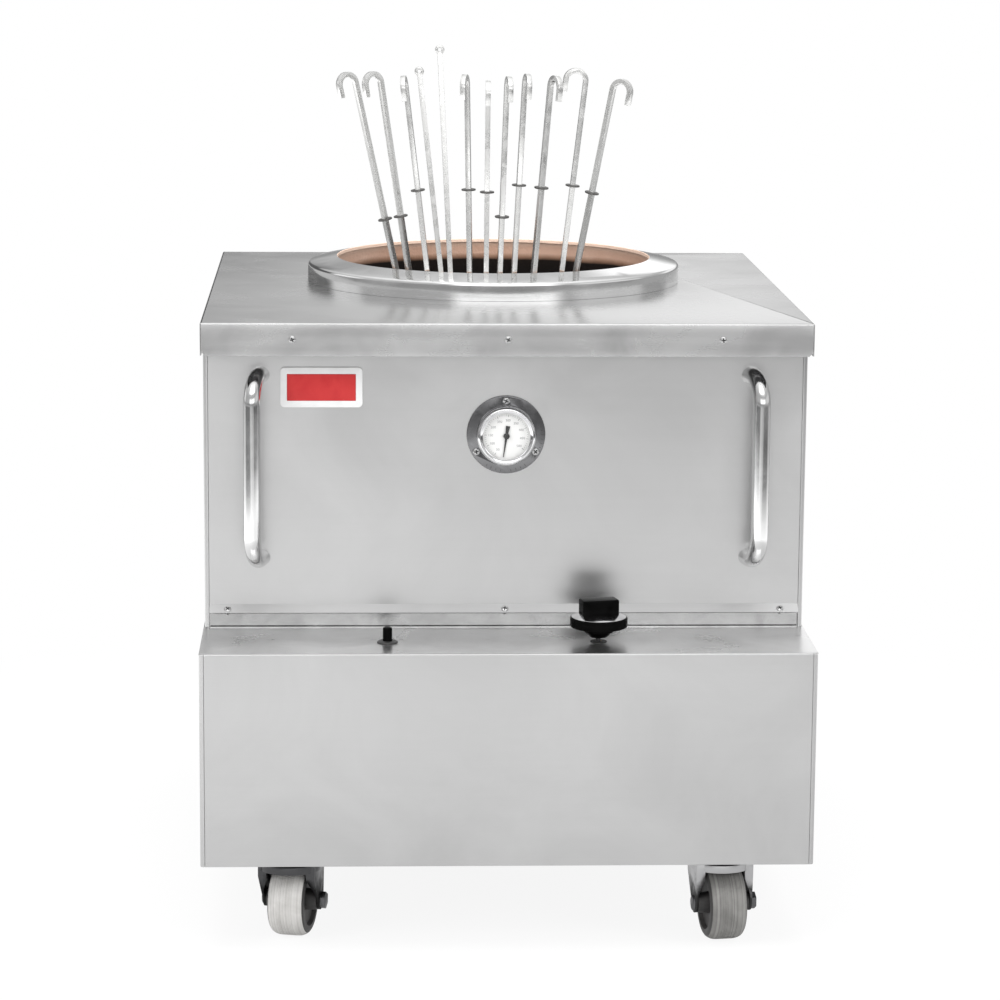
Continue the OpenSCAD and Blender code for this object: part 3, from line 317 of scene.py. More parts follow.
def new_group(name, inputs, output):
    """An empty shader group with number sockets, {input: value} and one output, and its two
    end nodes named In and Out."""
    group = bpy.data.node_groups.new(name, "ShaderNodeTree")
    for socket, value in inputs.items():
        made = group.interface.new_socket(socket, in_out="INPUT", socket_type="NodeSocketFloat")
        made.default_value = value
    group.interface.new_socket(output, in_out="OUTPUT", socket_type="NodeSocketFloat")
    group.nodes.new("NodeGroupInput").name = "In"
    group.nodes.new("NodeGroupOutput").name = "Out"
    return group


NUMBERS, COLOURS = {"data_type": "FLOAT"}, {"data_type": "RGBA"}    # what a mix node mixes
PLACE = ("ShaderNodeTexCoord", {})
SPLIT = ("ShaderNodeSeparateXYZ", {})


def maths(operation, *values):
    """A math node; the values are those of its second and third inputs."""
    return "ShaderNodeMath", dict(enumerate(values, 1)), {"operation": operation}


def ranged(low, high, **values):
    """A map range node from 0..1, or as the values say, to low..high."""
    values = {key.replace("_", " "): value for key, value in values.items()}
    return "ShaderNodeMapRange", {"To Min": low, "To Max": high, **values}


def mixed(dark, light):
    """A mix of two colours."""
    return "ShaderNodeMix", {6: (*dark, 1), 7: (*light, 1)}, COLOURS


LINE_NOISE = ("ShaderNodeTexNoise", {"Scale": 1.0, "Detail": 3.0, "Roughness": 0.6})

# Fine parallel polishing lines: level on upright faces, across the width on level ones.
grain = new_group("Polishing lines", {"Lines": 700.0, "Run": 4.0}, "Streak")
lay(grain, {
    "place": PLACE,
    "upright": ("ShaderNodeCombineXYZ", {}),
    "level": ("ShaderNodeCombineXYZ", {}),
    "side scale": ("ShaderNodeVectorMath", {}, {"operation": "MULTIPLY"}),
    "top scale": ("ShaderNodeVectorMath", {}, {"operation": "MULTIPLY"}),
    "side lines": LINE_NOISE,
    "top lines": LINE_NOISE,
    "facing": SPLIT,
    "flatness": maths("ABSOLUTE"),
    "choose": ("ShaderNodeMix", {}, NUMBERS),
}, ["In.Run > upright.X", "In.Run > upright.Y", "In.Lines > upright.Z",
    "In.Run > level.X", "In.Lines > level.Y", "In.Run > level.Z",
    "place.Object > side scale.0", "upright.Vector > side scale.1",
    "place.Object > top scale.0", "level.Vector > top scale.1",
    "side scale.Vector > side lines.Vector", "top scale.Vector > top lines.Vector",
    "place.Normal > facing.Vector", "facing.Z > flatness.0",
    "flatness.Value > choose.0", "side lines.0 > choose.2", "top lines.0 > choose.3",
    "choose.0 > Out.Streak"])

# Soft cloudy patches, as handling and wiping leave on bright metal.
marks = new_group("Handling marks", {"Size": 6.0, "Low": 0.35, "High": 0.65}, "Mask")
lay(marks, {
    "place": PLACE,
    "clouds": ("ShaderNodeTexNoise", {"Detail": 5.0, "Roughness": 0.55, "Distortion": 0.6}),
    "spread": ranged(0.0, 1.0),
}, ["place.Object > clouds.Vector", "In.Size > clouds.Scale", "clouds.0 > spread.Value",
    "In.Low > spread.From Min", "In.High > spread.From Max", "spread.Result > Out.Mask"])


def group_node(tree, name, group, **values):
    node = tree.nodes.new("ShaderNodeGroup")
    node.node_tree = group
    node.name = node.label = name
    for socket, value in values.items():
        node.inputs[socket].default_value = value


def new_material(name, **values):
    """A material with a Principled shader named Shader and its uniform values set on it."""
    material = bpy.data.materials.new(name)
    material.use_nodes = True
    tree = material.node_tree
    tree.nodes.clear()
    shader = tree.nodes.new("ShaderNodeBsdfPrincipled")
    shader.name = "Shader"
    tree.nodes.new("ShaderNodeOutputMaterial").name = "Surface"
    tree.links.new(shader.outputs[0], tree.nodes["Surface"].inputs["Surface"])
    for socket, value in values.items():
        shader.inputs[socket.replace("_", " ")].default_value = value
    return material


LINES, RUN = 1600.0, 7.0    # how fine the polishing lines are, across and along


def steel(name, dark, light, rough, rougher, cloud=5.0, bump=0.010):
    """Rolled or polished steel sheet: fine lines, long soft streaks and cloudy wiping marks."""
    material = new_material(name, Metallic=1.0)
    tree = material.node_tree
    group_node(tree, "lines", grain, Lines=LINES, Run=RUN)
    group_node(tree, "streaks", grain, Lines=LINES / 22, Run=RUN / 6)
    group_node(tree, "clouds", marks, Size=cloud)
    lay(tree, {
        "wear": ("ShaderNodeMix", {0: 0.5}, NUMBERS),
        "blend": ("ShaderNodeMix", {0: 0.6}, NUMBERS),
        "tone": mixed((dark,) * 3, (light,) * 3),
        "rough": ranged(rough, rougher),
        "relief": ("ShaderNodeBump", {"Strength": bump, "Distance": 0.0004}),
    }, ["lines.Streak > wear.2", "streaks.Streak > wear.3", "wear.0 > blend.2",
        "clouds.Mask > blend.3", "blend.0 > tone.0", "tone.2 > Shader.Base Color",
        "blend.0 > rough.Value", "rough.Result > Shader.Roughness",
        "lines.Streak > relief.Height", "relief.Normal > Shader.Normal"])
    return material


def plain_coat(name, dark, light, rough, rougher, bump=0.0, cloud=40.0, **values):
    """Paint, plastic, iron or wool: two near tones in clouds; with bump also a fine tooth."""
    material = new_material(name, **values)
    tree = material.node_tree
    group_node(tree, "clouds", marks, Size=cloud)
    parts = {
        "tone": mixed(dark, light),
        "rough": ranged(rough, rougher),
    }
    wires = ["clouds.Mask > tone.0", "tone.2 > Shader.Base Color", "clouds.Mask > rough.Value",
             "rough.Result > Shader.Roughness"]
    if bump:
        parts["place"] = PLACE
        parts["tooth"] = ("ShaderNodeTexNoise", {"Scale": 480.0, "Detail": 4.0})
        parts["relief"] = ("ShaderNodeBump", {"Strength": bump, "Distance": 0.001})
        wires += ["place.Object > tooth.Vector", "tooth.0 > relief.Height",
                  "relief.Normal > Shader.Normal"]
    lay(tree, parts, wires)
    return material


def bright(name, tone, rough, cloud=30.0, metal=1.0):
    """Plated or turned bright metal with faint marks."""
    return plain_coat(name, [c * 0.94 for c in tone], tone, rough, rough * 1.7 + 0.02,
                      cloud=cloud, Metallic=metal)


# ---------------------------------------------------------------- finishes
satin_steel = steel("Satin steel sheet", 0.52, 0.62, 0.29, 0.39)
mottled_steel = steel("Wiped steel strip", 0.31, 0.56, 0.16, 0.30, cloud=24)
# The shelf's top: the cabinet's sheet steel in a lighter tone, painted light.
lit_shelf_steel = steel("Shelf steel painted lighter as lit", 0.74, 0.94, 0.24, 0.36, cloud=10)
mirror_steel = steel("Polished steel sheet", 0.54, 0.68, 0.22, 0.30, cloud=8, bump=0.006)
collar_steel = steel("Spun steel collar", 0.78, 0.92, 0.05, 0.13, cloud=14, bump=0.004)
tube_steel = bright("Polished tube", (0.74, 0.74, 0.74), 0.10, cloud=18)
rod_steel = bright("Skewer steel", (0.78, 0.78, 0.77), 0.20, cloud=60, metal=0.86)
smoked_steel = bright("Smoked disc", (0.20, 0.195, 0.19), 0.35, cloud=90)
chrome = bright("Bright chrome", (0.76, 0.76, 0.77), 0.06)
dull_chrome = bright("Turned flange", (0.19, 0.19, 0.195), 0.12, cloud=70)
screw_steel = bright("Screw steel", (0.62, 0.62, 0.62), 0.22, cloud=200)
zinc = bright("Zinc plating", (0.56, 0.57, 0.58), 0.32, cloud=45)
nut_steel = bright("Axle nut", (0.16, 0.16, 0.165), 0.38, cloud=80)
brass = bright("Brass", (0.72, 0.56, 0.26), 0.28)
heat_paint = plain_coat("Heat paint", (0.10, 0.10, 0.105), (0.16, 0.16, 0.165), 0.45, 0.6)
cast_iron = plain_coat("Cast iron", (0.05, 0.05, 0.05), (0.09, 0.085, 0.08), 0.6, 0.8, bump=0.3)
pipe_black = plain_coat("Black pipe", (0.035, 0.035, 0.035), (0.06, 0.06, 0.06), 0.4, 0.6)
knob_black = plain_coat("Glossy black knob", (0.002, 0.002, 0.002), (0.004, 0.004, 0.004),
                        0.09, 0.15, IOR=1.08)
knob_face = bright("Knob face", (0.78, 0.78, 0.79), 0.10, cloud=60)
ring_black = plain_coat("Black ring", (0.02, 0.02, 0.02), (0.035, 0.035, 0.035), 0.3, 0.45)
cable_black = plain_coat("Cable sleeve", (0.03, 0.03, 0.03), (0.05, 0.05, 0.05), 0.45, 0.6)
wool = plain_coat("Ceramic wool", (0.70, 0.68, 0.62), (0.82, 0.80, 0.75), 0.9, 1.0, bump=0.8)
plate_white = plain_coat("White enamel", (0.71, 0.71, 0.71), (0.76, 0.76, 0.76), 0.3, 0.4)
plate_red = plain_coat("Red enamel", (0.47, 0.027, 0.029), (0.52, 0.037, 0.037), 0.35, 0.45,
                       IOR=1.30)
dial_white = plain_coat("Dial white", (0.70, 0.70, 0.69), (0.74, 0.74, 0.73), 0.5, 0.6)
dial_grey = plain_coat("Dial print", (0.14, 0.14, 0.15), (0.20, 0.20, 0.21), 0.5, 0.6)
ink_black = plain_coat("Dial black", (0.010, 0.010, 0.010), (0.02, 0.02, 0.02), 0.4, 0.5)
# Black for cuts and recesses: painted shade.
painted_recess_shade = plain_coat("Painted recess shade", (0.03, 0.03, 0.03), (0.06, 0.06, 0.06), 0.6, 0.8)
# The wheel's dark hub colour, also spread over the tread's side as painted shade.
hub_and_side_shade = plain_coat("Wheel hub and painted side shade", (0.020, 0.019, 0.019), (0.045, 0.043, 0.042), 0.45, 0.65,
                       bump=0.2)


PAINTED_SHADE_LOW, PAINTED_SHADE_HIGH = 78 * MM, 104 * MM    # heights below and above which a fork's painted shade is full and gone


def fork_plating(name, clean, shaded):
    """Plated pressed steel, darkened in blotches towards the axle: painted shade."""
    material = new_material(name, Metallic=1.0)
    tree = material.node_tree
    group_node(tree, "clouds", marks, Size=60.0, Low=0.25, High=0.75)
    lay(tree, {
        "place": PLACE,
        "height": SPLIT,
        "drift": maths("MULTIPLY", 0.028),
        "level": maths("ADD"),
        # Painted shade: below a height the plating turns to its darker, shaded tone.
        "grime": ranged(0.0, 1.0, From_Min=PAINTED_SHADE_LOW, From_Max=PAINTED_SHADE_HIGH),
        "tone": mixed(shaded, clean),
        "rough": ranged(0.60, 0.30),
    }, ["place.Object > height.Vector", "clouds.Mask > drift.0", "height.Z > level.0",
        "drift.Value > level.1", "level.Value > grime.Value", "grime.Result > tone.0",
        "tone.2 > Shader.Base Color", "grime.Result > rough.Value",
        "rough.Result > Shader.Roughness"])
    return material


def tread_rubber(name, dark, light, axle):
    """Rubber worn in fine bands round the wheel, with dirt in clouds."""
    material = new_material(name)
    tree = material.node_tree
    group_node(tree, "clouds", marks, Size=34.0)
    lay(tree, {
        "place": PLACE,
        "across": ("ShaderNodeVectorMath", {1: axle}, {"operation": "DOT_PRODUCT"}),
        "bands": ("ShaderNodeTexNoise", {"Scale": 340.0, "Detail": 3.0, "Roughness": 0.6},
                  {"noise_dimensions": "1D"}),
        "sharp": ranged(0.0, 1.0, From_Min=0.32, From_Max=0.68),
        "blend": ("ShaderNodeMix", {0: 0.45}, NUMBERS),
        "tone": mixed(dark, light),
        "rough": ranged(0.5, 0.75),
        "tooth": ("ShaderNodeTexNoise", {"Scale": 420.0, "Detail": 4.0}),
        "relief": ("ShaderNodeBump", {"Strength": 0.25, "Distance": 0.001}),
    }, ["place.Object > across.0", "across.Value > bands.W", "bands.0 > sharp.Value",
        "sharp.Result > blend.2", "clouds.Mask > blend.3", "blend.0 > tone.0",
        "tone.2 > Shader.Base Color", "clouds.Mask > rough.Value",
        "rough.Result > Shader.Roughness", "place.Object > tooth.Vector",
        "tooth.0 > relief.Height", "relief.Normal > Shader.Normal"])
    return material


# The left casters' forks take a darker copy of the plating: painted shade.
zinc_fork = fork_plating("Zinc-plated fork", (0.50, 0.50, 0.505), (0.06, 0.06, 0.06))
fork_in_painted_shade = fork_plating("Fork in painted shade", (0.085, 0.085, 0.088), (0.03, 0.03, 0.03))


SOOT_AND_SHADE_DEPTH = 50 * MM     # below the rim, where the ramp to black begins: sooty blackening and painted shade


def clay_finish():
    """Fired clay, blotchy and pitted, that darkens to black below the rim: partly sooty
    blackening, partly painted shade of the deep pot.
    """
    material = new_material("Fired clay", Roughness=0.85)
    tree = material.node_tree
    group_node(tree, "clouds", marks, Size=9.0, Low=0.3, High=0.7)
    lay(tree, {
        "place": PLACE,
        "height": SPLIT,
        "tone": mixed((0.75, 0.47, 0.345), (0.86, 0.60, 0.475)),
        "wander": ("ShaderNodeTexNoise", {"Scale": 11.0, "Detail": 5.0}),
        "drift": maths("MULTIPLY", 0.009),
        "level": maths("SUBTRACT"),
        "rim": ranged(0.0, 1.0, From_Min=RIM_Z - 10 * MM, From_Max=RIM_Z - 2 * MM),
        "pale": ("ShaderNodeMix", {7: (0.88, 0.65, 0.52, 1)}, COLOURS),
        "soot": ("ShaderNodeValToRGB", {}),
        "depth": ranged(0.0, 1.0, From_Min=RIM_Z - SOOT_AND_SHADE_DEPTH, From_Max=RIM_Z),
        "sooted": ("ShaderNodeMix", {0: 1.0}, {**COLOURS, "blend_type": "MULTIPLY"}),
        "pits": ("ShaderNodeTexNoise", {"Scale": 260.0, "Detail": 5.0}),
        "relief": ("ShaderNodeBump", {"Strength": 0.4, "Distance": 0.002}),
    }, ["place.Object > height.Vector", "place.Object > wander.Vector",
        "place.Object > pits.Vector",
        "wander.0 > drift.0", "height.Z > level.0", "drift.Value > level.1",
        "height.Z > rim.Value", "rim.Result > pale.0", "clouds.Mask > tone.0", "tone.2 > pale.6",
        "level.Value > depth.Value", "depth.Result > soot.Fac",
        "pale.2 > sooted.6", "soot.Color > sooted.7", "sooted.2 > Shader.Base Color",
        "pits.0 > relief.Height", "relief.Normal > Shader.Normal"])
    # The ramp to near black deep in the pot: partly sooty blackening, partly painted shade.
    set_ramp(tree.nodes["soot"], [(0.0, (0.006, 0.005, 0.005)), (0.32, (0.010, 0.008, 0.007)),
                                  (0.42, (0.45, 0.39, 0.34)), (0.54, (0.92, 0.90, 0.88)),
                                  (1.0, (1.0, 1.0, 1.0))])
    return material


def glass_finish():
    """Clear flat glass that casts no shadow on what it covers."""
    material = new_material("Clear glass", Base_Color=(1, 1, 1, 1), Roughness=0.02, IOR=1.45,
                            Transmission_Weight=1.0)
    lay(material.node_tree, {
        "path": ("ShaderNodeLightPath", {}),
        "either": maths("MAXIMUM"),
        "clear": ("ShaderNodeBsdfTransparent", {}),
        "pass": ("ShaderNodeMixShader", {}),
    }, ["path.Is Shadow Ray > either.0", "path.Is Diffuse Ray > either.1", "either.Value > pass.0",
        "Shader.0 > pass.1", "clear.0 > pass.2", "pass.0 > Surface.Surface"])
    return material


fired_clay = clay_finish()
clear_glass = glass_finish()

# ---------------------------------------------------------------- CAD nodes that keep their shape
KEPT = {
    heat_paint: ("floor_pan", "frame", "hearth_plate"),
    wool: ("insulation",),
    cast_iron: ("flame_deflector", "burner"),
    zinc: ("pilot", "valve_core", "caster_bolts"),
    nut_steel: ("caster_plates",),
    ring_black: ("valve_stem",),
    pipe_black: ("supply_pipe",),
    brass: ("feed_pipe",),
    cable_black: ("igniter_lead",),
    dial_white: ("thermometer_dial",),
    clear_glass: ("thermometer_glass",),
    ink_black: ("thermometer_needle",),
}
for material, names in KEPT.items():
    for node in names:
        coat(nodes[node], material)

# ---------------------------------------------------------------- cabinet sheets
SHEET = 1.2 * MM
EDGE, COLLAR_EDGE = 0.3 * MM, 0.4 * MM      # broken edges of sheet metal
COVER_BEND, SHELF_BEND, SHELF_INSIDE_BEND = 2.6 * MM, 5.8 * MM, 4.6 * MM
CREASE = 2.2 * MM    # the points of a crease lie nearer than this to the cover's outer faces
NEAR = 0.1 * MM


def sheet_copy(node, *bends):
    """A copy of a sheet piece; each bend is (radius, test of the points on its edge)."""
    obj = copy_of(node, node + "_sheet")
    for radius, on_bend in bends:
        ease_edges(obj, radius, 4, where=on_bend)
    return obj


def cabinet_sheet(obj, node, material, slot, edge=EDGE):
    """Breaks the cut edges of a sheet piece and puts it in its node's place."""
    if edge:
        ease_edges(obj, edge, 1, sharper=60)
    smooth(cut_ngons(keep_inside(obj, node)))
    return fit(obj, "cabinet", slot, node, material=material)


def on_cover_edge(p):
    return p.z > TOP_Z - NEAR and (abs(p.x) > HALF_W - CREASE or p.y < COVER_Y + CREASE
                                   or p.y > BACK_Y - CREASE)


def on_shelf_edge(p):
    return p.z > SHELF_Z - NEAR and p.y < FRONT_Y + NEAR


def on_shelf_inside(p):
    return abs(p.z - SHELF_Z + SHEET) < NEAR and abs(p.y - FRONT_Y - SHEET) < NEAR


cabinet_sheet(sheet_copy("top_cover", (COVER_BEND, on_cover_edge)),
              "top_cover", mirror_steel, "polished_steel", 0)
apron = cabinet_sheet(sheet_copy("base_front", (SHELF_INSIDE_BEND, on_shelf_inside),
                                 (SHELF_BEND, on_shelf_edge)),
                      "base_front", satin_steel, "satin_steel")
# The upward faces of the same sheet take the lighter steel: painted light on its top.
face_material(apron, lit_shelf_steel, lambda f: f.normal.z > 0.99 and f.center.z > SHELF_Z - NEAR)
for node, finish in (("body_front", satin_steel), ("base_shell", satin_steel),
                     ("body_shell", satin_steel), ("riser_strip", mottled_steel)):
    cabinet_sheet(sheet_copy(node), node, finish, "satin_steel")
collar = cabinet_sheet(sheet_copy("collar"), "collar", collar_steel, "polished_steel",
                       COLLAR_EDGE)
collar_low, collar_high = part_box("collar")
POT_Y = (collar_low.y + collar_high.y) / 2
MOUTH_R = 228 * MM
HEM_H, HEM_NEAR = 4 * MM, 0.45 * MM


def on_hem(face):
    """The hem that is turned down into the mouth, smeared with clay when the pot is set."""
    reach = Vector((face.center.x, face.center.y - POT_Y)).length
    return abs(reach - MOUTH_R) < HEM_NEAR and face.center.z > RIM_Z - HEM_H


face_material(collar, fired_clay, on_hem)

# The bend at the back of the shelf, where its sheet turns up to the riser.
riser_low, riser_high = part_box("riser_strip")
FILLET = 2.4 * MM
fillet = block("shelf_back_bend", (riser_high.x - riser_low.x - 4 * MM, FILLET, FILLET),
               (0, riser_low.y - FILLET / 2 + NEAR, SHELF_Z + FILLET / 2 - NEAR))
ease_edges(fillet, FILLET * 0.96, 3, 60, where=lambda p: p.z > SHELF_Z + FILLET / 2
           and p.y < riser_low.y - FILLET / 2)
fit(smooth(fillet, 40), "cabinet", "satin_steel", material=mottled_steel)

pot = copy_of("clay_pot", "fired_pot")
fit(smooth(pot, 40), "cabinet", "terracotta", "clay_pot", material=fired_clay)

for side in ("left", "right"):
    bar = copy_of("handle_" + side, "grab_bar_" + side)
    fit(smooth(bar, 40), "cabinet", "polished_steel", "handle_" + side, material=tube_steel)

# ---------------------------------------------------------------- bare plate
PLATE_MARGIN = 8.9 * MM
FIELD_RISE = 0.55 * MM      # the red field's face and its rounded edge
plate = copy_of("name_plate", "bare_plate")
ease_edges(plate, 0.5 * MM, 2, 40)
plate_low, plate_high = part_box("name_plate")
coat(plate, plate_white)
face_material(plate, plate_red, lambda f: f.center.y < plate_low.y + FIELD_RISE
              and plate_low.x + PLATE_MARGIN < f.center.x < plate_high.x - PLATE_MARGIN
              and plate_low.z + PLATE_MARGIN < f.center.z < plate_high.z - PLATE_MARGIN)
fit(smooth(plate), "cabinet", "plate_enamel", "name_plate")

# ---------------------------------------------------------------- thermometer
flange_low, flange_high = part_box("thermometer_flange")
case_low, case_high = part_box("thermometer_case")
dial_low, dial_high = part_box("thermometer_dial")
glass_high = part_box("thermometer_glass")[1]
DIAL = Vector(((flange_low.x + flange_high.x) / 2, 0, (flange_low.z + flange_high.z) / 2))
MOUNT_Y = flange_high.y         # the panel's face, where the flange lies
DIAL_Y = dial_low.y + 1 * MM    # the dial's face, behind its boss
PRINT_Y = DIAL_Y - 0.03 * MM    # the middle of its print
PRINT_T = 0.08 * MM
FLANGE_R = flange_high.x - DIAL.x
BEZEL_R = dial_high.x - DIAL.x + 2.5 * MM
BEZEL_RING = 8 * MM
SCORES = (-28, -21, -14, -7, 0, 7, 14, -58, -66, -74, -82, -98, -106, -114, -122)   # degrees


def on_dial(radius, degrees, y):
    """A point at a radius and an angle, counter-clockwise from three o'clock."""
    a = math.radians(degrees)
    return Vector((DIAL.x + radius * math.cos(a), y, DIAL.z + radius * math.sin(a)))


def round_dial(obj, name, degrees):
    """A copy turned about the dial's middle, counter-clockwise as seen from the front."""
    return copy_at(obj, name, Matrix.Translation(DIAL)
                   @ Matrix.Rotation(math.radians(-degrees), 4, "Y") @ Matrix.Translation(-DIAL))


flange = copy_of("thermometer_flange", "thermometer_flange_turned")
ease_edges(flange, 0.8 * MM, 3, 60)
fit(smooth(flange), "cabinet", "chrome", "thermometer_flange", material=dull_chrome)


def flange_scores():
    """Short radial cuts near the flange's edge, at the bottom and on the right, drawn as thin
    black marks: painted shade in the cuts.
    """
    first = block("score", (3.2 * MM, 0.10 * MM, 0.55 * MM),
                  on_dial(FLANGE_R - 4.0 * MM, 0, flange_low.y - 0.01 * MM))
    scores = [round_dial(first, "score", a) for a in SCORES if a]
    return joined("thermometer_flange_scores", [first] + scores)


# The scores are black: painted shade.
fit(flange_scores(), "cabinet", "chrome", material=painted_recess_shade)

front = (MOUNT_Y - case_low.y) / MM           # how far the bezel stands out, in mm
back = (MOUNT_Y - flange_low.y) / MM
seat = (MOUNT_Y - glass_high.y) / MM - 0.1
bezel, ring = BEZEL_R / MM, BEZEL_RING / MM
BEZEL_RINGS = [
    (4, -(case_high.y - MOUNT_Y) / MM), (4, 0), (8, 0), (8, back), (bezel - 2, back),
    (bezel, back + 2), (bezel, front - 6.2), (bezel - 0.25, front - 4.4),
    (bezel - 0.9, front - 2.7), (bezel - 1.9, front - 1.3), (bezel - 3.1, front - 0.4),
    (bezel - 4.3, front), (bezel - 5.2, front - 0.35), (bezel - 5.9, front - 1.1),
    (bezel - ring, front - 1.6), (bezel - ring, seat), (bezel - 2, seat),
    (bezel - 2, back + 3), (0.02, back + 3)]
case = lathe("thermometer_bezel", [(r * MM, h * MM) for r, h in BEZEL_RINGS],
             (DIAL.x, MOUNT_Y, DIAL.z), "-Y", 72)
fit(smooth(keep_inside(case, "thermometer_case"), 40), "cabinet", "chrome", "thermometer_case",
    material=chrome)

needle_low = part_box("thermometer_needle")[0]
cap = lathe("needle_cap", [(1.4 * MM, 0.02 * MM), (4.2 * MM, 0.02 * MM), (4.2 * MM, 0.6 * MM),
                           (3.6 * MM, 1.0 * MM), (0.02 * MM, 1.15 * MM)],
            (DIAL.x, needle_low.y, DIAL.z), "-Y", 32)
fit(smooth(cap), "needle", "black_paint", material=ink_black)

SCALE_START, SCALE_SWEEP = 238.0, 276.0       # degrees; the scale runs clockwise
SCALE_LOW, SCALE_HIGH, SCALE_STEP, LONG_STEP = 50, 500, 10, 50
NUMBER_H, NUMBER_R, MARK_R = 4.6 * MM, 21.5 * MM, 29.6 * MM


def scale_angle(value):
    return SCALE_START - SCALE_SWEEP * (value - SCALE_LOW) / (SCALE_HIGH - SCALE_LOW)


def dial_number(value):
    """One number of the scale, as a thin flat mesh."""
    put_down()
    bpy.ops.object.text_add(location=(0, 0, 0))
    text = bpy.context.object
    text.data.body = str(value)
    text.data.align_x = "CENTER"
    text.data.align_y = "CENTER"
    text.data.size = NUMBER_H
    text.data.extrude = PRINT_T / 2
    text.data.resolution_u = 3
    bpy.ops.object.convert(target="MESH")
    obj = new_piece(f"number_{value}")
    obj.rotation_euler = (math.radians(90), 0, 0)
    obj.location = on_dial(NUMBER_R, scale_angle(value), PRINT_Y)
    set_place(obj)
    return obj


def dial_print():
    """The scale: long and short marks and the numbers."""
    marks_made = []
    for length, width, long in ((3.4 * MM, 0.55 * MM, True), (1.9 * MM, 0.28 * MM, False)):
        first = block("mark", (length, PRINT_T, width),
                      on_dial(MARK_R - length / 2, 0, PRINT_Y))
        for value in range(SCALE_LOW, SCALE_HIGH + 1, SCALE_STEP):
            if (value % LONG_STEP == 0) == long:
                marks_made.append(round_dial(first, "mark", scale_angle(value)))
        bpy.data.objects.remove(first, do_unlink=True)
    numbers = [dial_number(value) for value in range(SCALE_LOW, SCALE_HIGH + 1, LONG_STEP)]
    return joined("dial_scale", marks_made + numbers)


fit(dial_print(), "cabinet", "white_face", material=dial_grey)

# ---------------------------------------------------------------- controls
knob_low, knob_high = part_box("gas_knob")
GRIP_H, BAND_H, CONE_H = 19 * MM, 13 * MM, 5 * MM
SKIRT_TOP = knob_high.z - GRIP_H
BAND_TOP = SKIRT_TOP - CONE_H
knob = copy_of("gas_knob", "gas_knob_moulded")
ease_edges(knob, 1.6 * MM, 4, 60, where=lambda p: p.z > SKIRT_TOP + NEAR)
ease_edges(knob, 0.5 * MM, 2, 22, where=lambda p: BAND_TOP - BAND_H + NEAR < p.z < BAND_TOP + NEAR)
fit(smooth(keep_inside(knob, "gas_knob"), 40), "knob", "black_plastic", "gas_knob",
    material=knob_black)
centre = (knob_low + knob_high) / 2
KNOB_R = (knob_high.x - knob_low.x) / 2
cone_out, cone_in = KNOB_R - 2 * MM, KNOB_R * 0.55
insert = lathe("knob_face_ring", [(cone_in, -0.5 * MM), (cone_out, -CONE_H - 0.1 * MM),
                                  (cone_out, -CONE_H + 0.5 * MM), (cone_in, 0.4 * MM)],
               (centre.x, centre.y, SKIRT_TOP), verts=64)
fit(smooth(insert), "knob", "black_plastic", material=knob_face)
valve = copy_of("valve_body", "valve_casting")
coat(valve, brass)
# The valve's neck above the shelf is painted black: painted shade under the knob.
face_material(valve, ring_black, lambda f: f.center.z > SHELF_Z - 0.5 * MM)
fit(smooth(valve), "cabinet", "brass", "valve_body")
button = copy_of("igniter_button", "igniter_cap")
fit(smooth(button, 40), "spark_button", "black_plastic", "igniter_button", material=knob_black)
ring_body = copy_of("igniter_body", "igniter_ring")
ease_edges(ring_body, 0.5 * MM, 2, 30, where=lambda p: p.z > SHELF_Z + NEAR)
fit(smooth(keep_inside(ring_body, "igniter_body")), "cabinet", "chrome", "igniter_body",
    material=ring_black)

# ---------------------------------------------------------------- screws
SCREW_RINGS = [(2.5, -9), (2.5, 0), (5, 0), (5, 1.0), (4.8, 1.5), (4.0, 2.1), (2.9, 2.52),
               (1.5, 2.85), (0.02, 2.95)]
CROSS_L, CROSS_W, CROSS_FLOOR = 6.0 * MM, 1.7 * MM, 1.2 * MM
CROSS_REACH = 3.2 * MM      # the recess's walls lie nearer to the axis than this
SKIRT_X, SKIRT_DROP, DRIP_X, FLANGE_SCREW_R = 286 * MM, 22 * MM, 375 * MM, 46 * MM


def screw_master():
    """A domed cross-recess screw standing on the origin."""
    screw = lathe("screw", [(r * MM, h * MM) for r, h in SCREW_RINGS], (0, 0, 0), verts=24)
    for size in ((CROSS_L, CROSS_W, 4 * MM), (CROSS_W, CROSS_L, 4 * MM)):
        screw = cut_with(screw, block("slot", size, (0, 0, CROSS_FLOOR + 2 * MM)))
    coat(screw, screw_steel)
    # The cross recess is painted black: painted shade in the recess.
    face_material(screw, painted_recess_shade, lambda f: f.center.z > CROSS_FLOOR - NEAR
                  and (f.normal.z > 0.95 and f.center.z < CROSS_FLOOR + NEAR
                       or abs(f.normal.z) < 0.05 and Vector(f.center[:2]).length < CROSS_REACH))
    return screw


def screw_at(master, name, place, facing, twist):
    """A copy of the screw on a face, its cross turned by its own angle."""
    turn = Vector((0, 0, 1)).rotation_difference(facing).to_matrix().to_4x4()
    return copy_at(master, name, Matrix.Translation(place) @ turn
                   @ Matrix.Rotation(math.radians(twist), 4, "Z"))


def panel_screws():
    """Three screws in the cover's skirt, three in the drip edge, three in the flange."""
    master = screw_master()
    places = [((x, COVER_Y, TOP_Z - SKIRT_DROP), (0, -1, 0)) for x in (-SKIRT_X, 0, SKIRT_X)]
    places += [((x, DRIP_Y, DRIP_Z), (0, -1, 1)) for x in (-DRIP_X, 0, DRIP_X)]
    places += [(on_dial(FLANGE_SCREW_R, a, flange_low.y), (0, -1, 0)) for a in (90, 210, 330)]
    made = [screw_at(master, "screw", place, Vector(facing).normalized(), 23 + 37 * k)
            for k, (place, facing) in enumerate(places)]
    bpy.data.objects.remove(master, do_unlink=True)
    return joined("panel_screw_set", made)


fit(smooth(panel_screws()), "cabinet", "bare_steel", "panel_screws")

# ---------------------------------------------------------------- skewers
ROD_REACH = 4.4 * MM      # farther from the rod's line than this lies only the disc
HOOK_H, DISC_T = 62 * MM, 6 * MM      # no hook is higher and no disc thicker than this


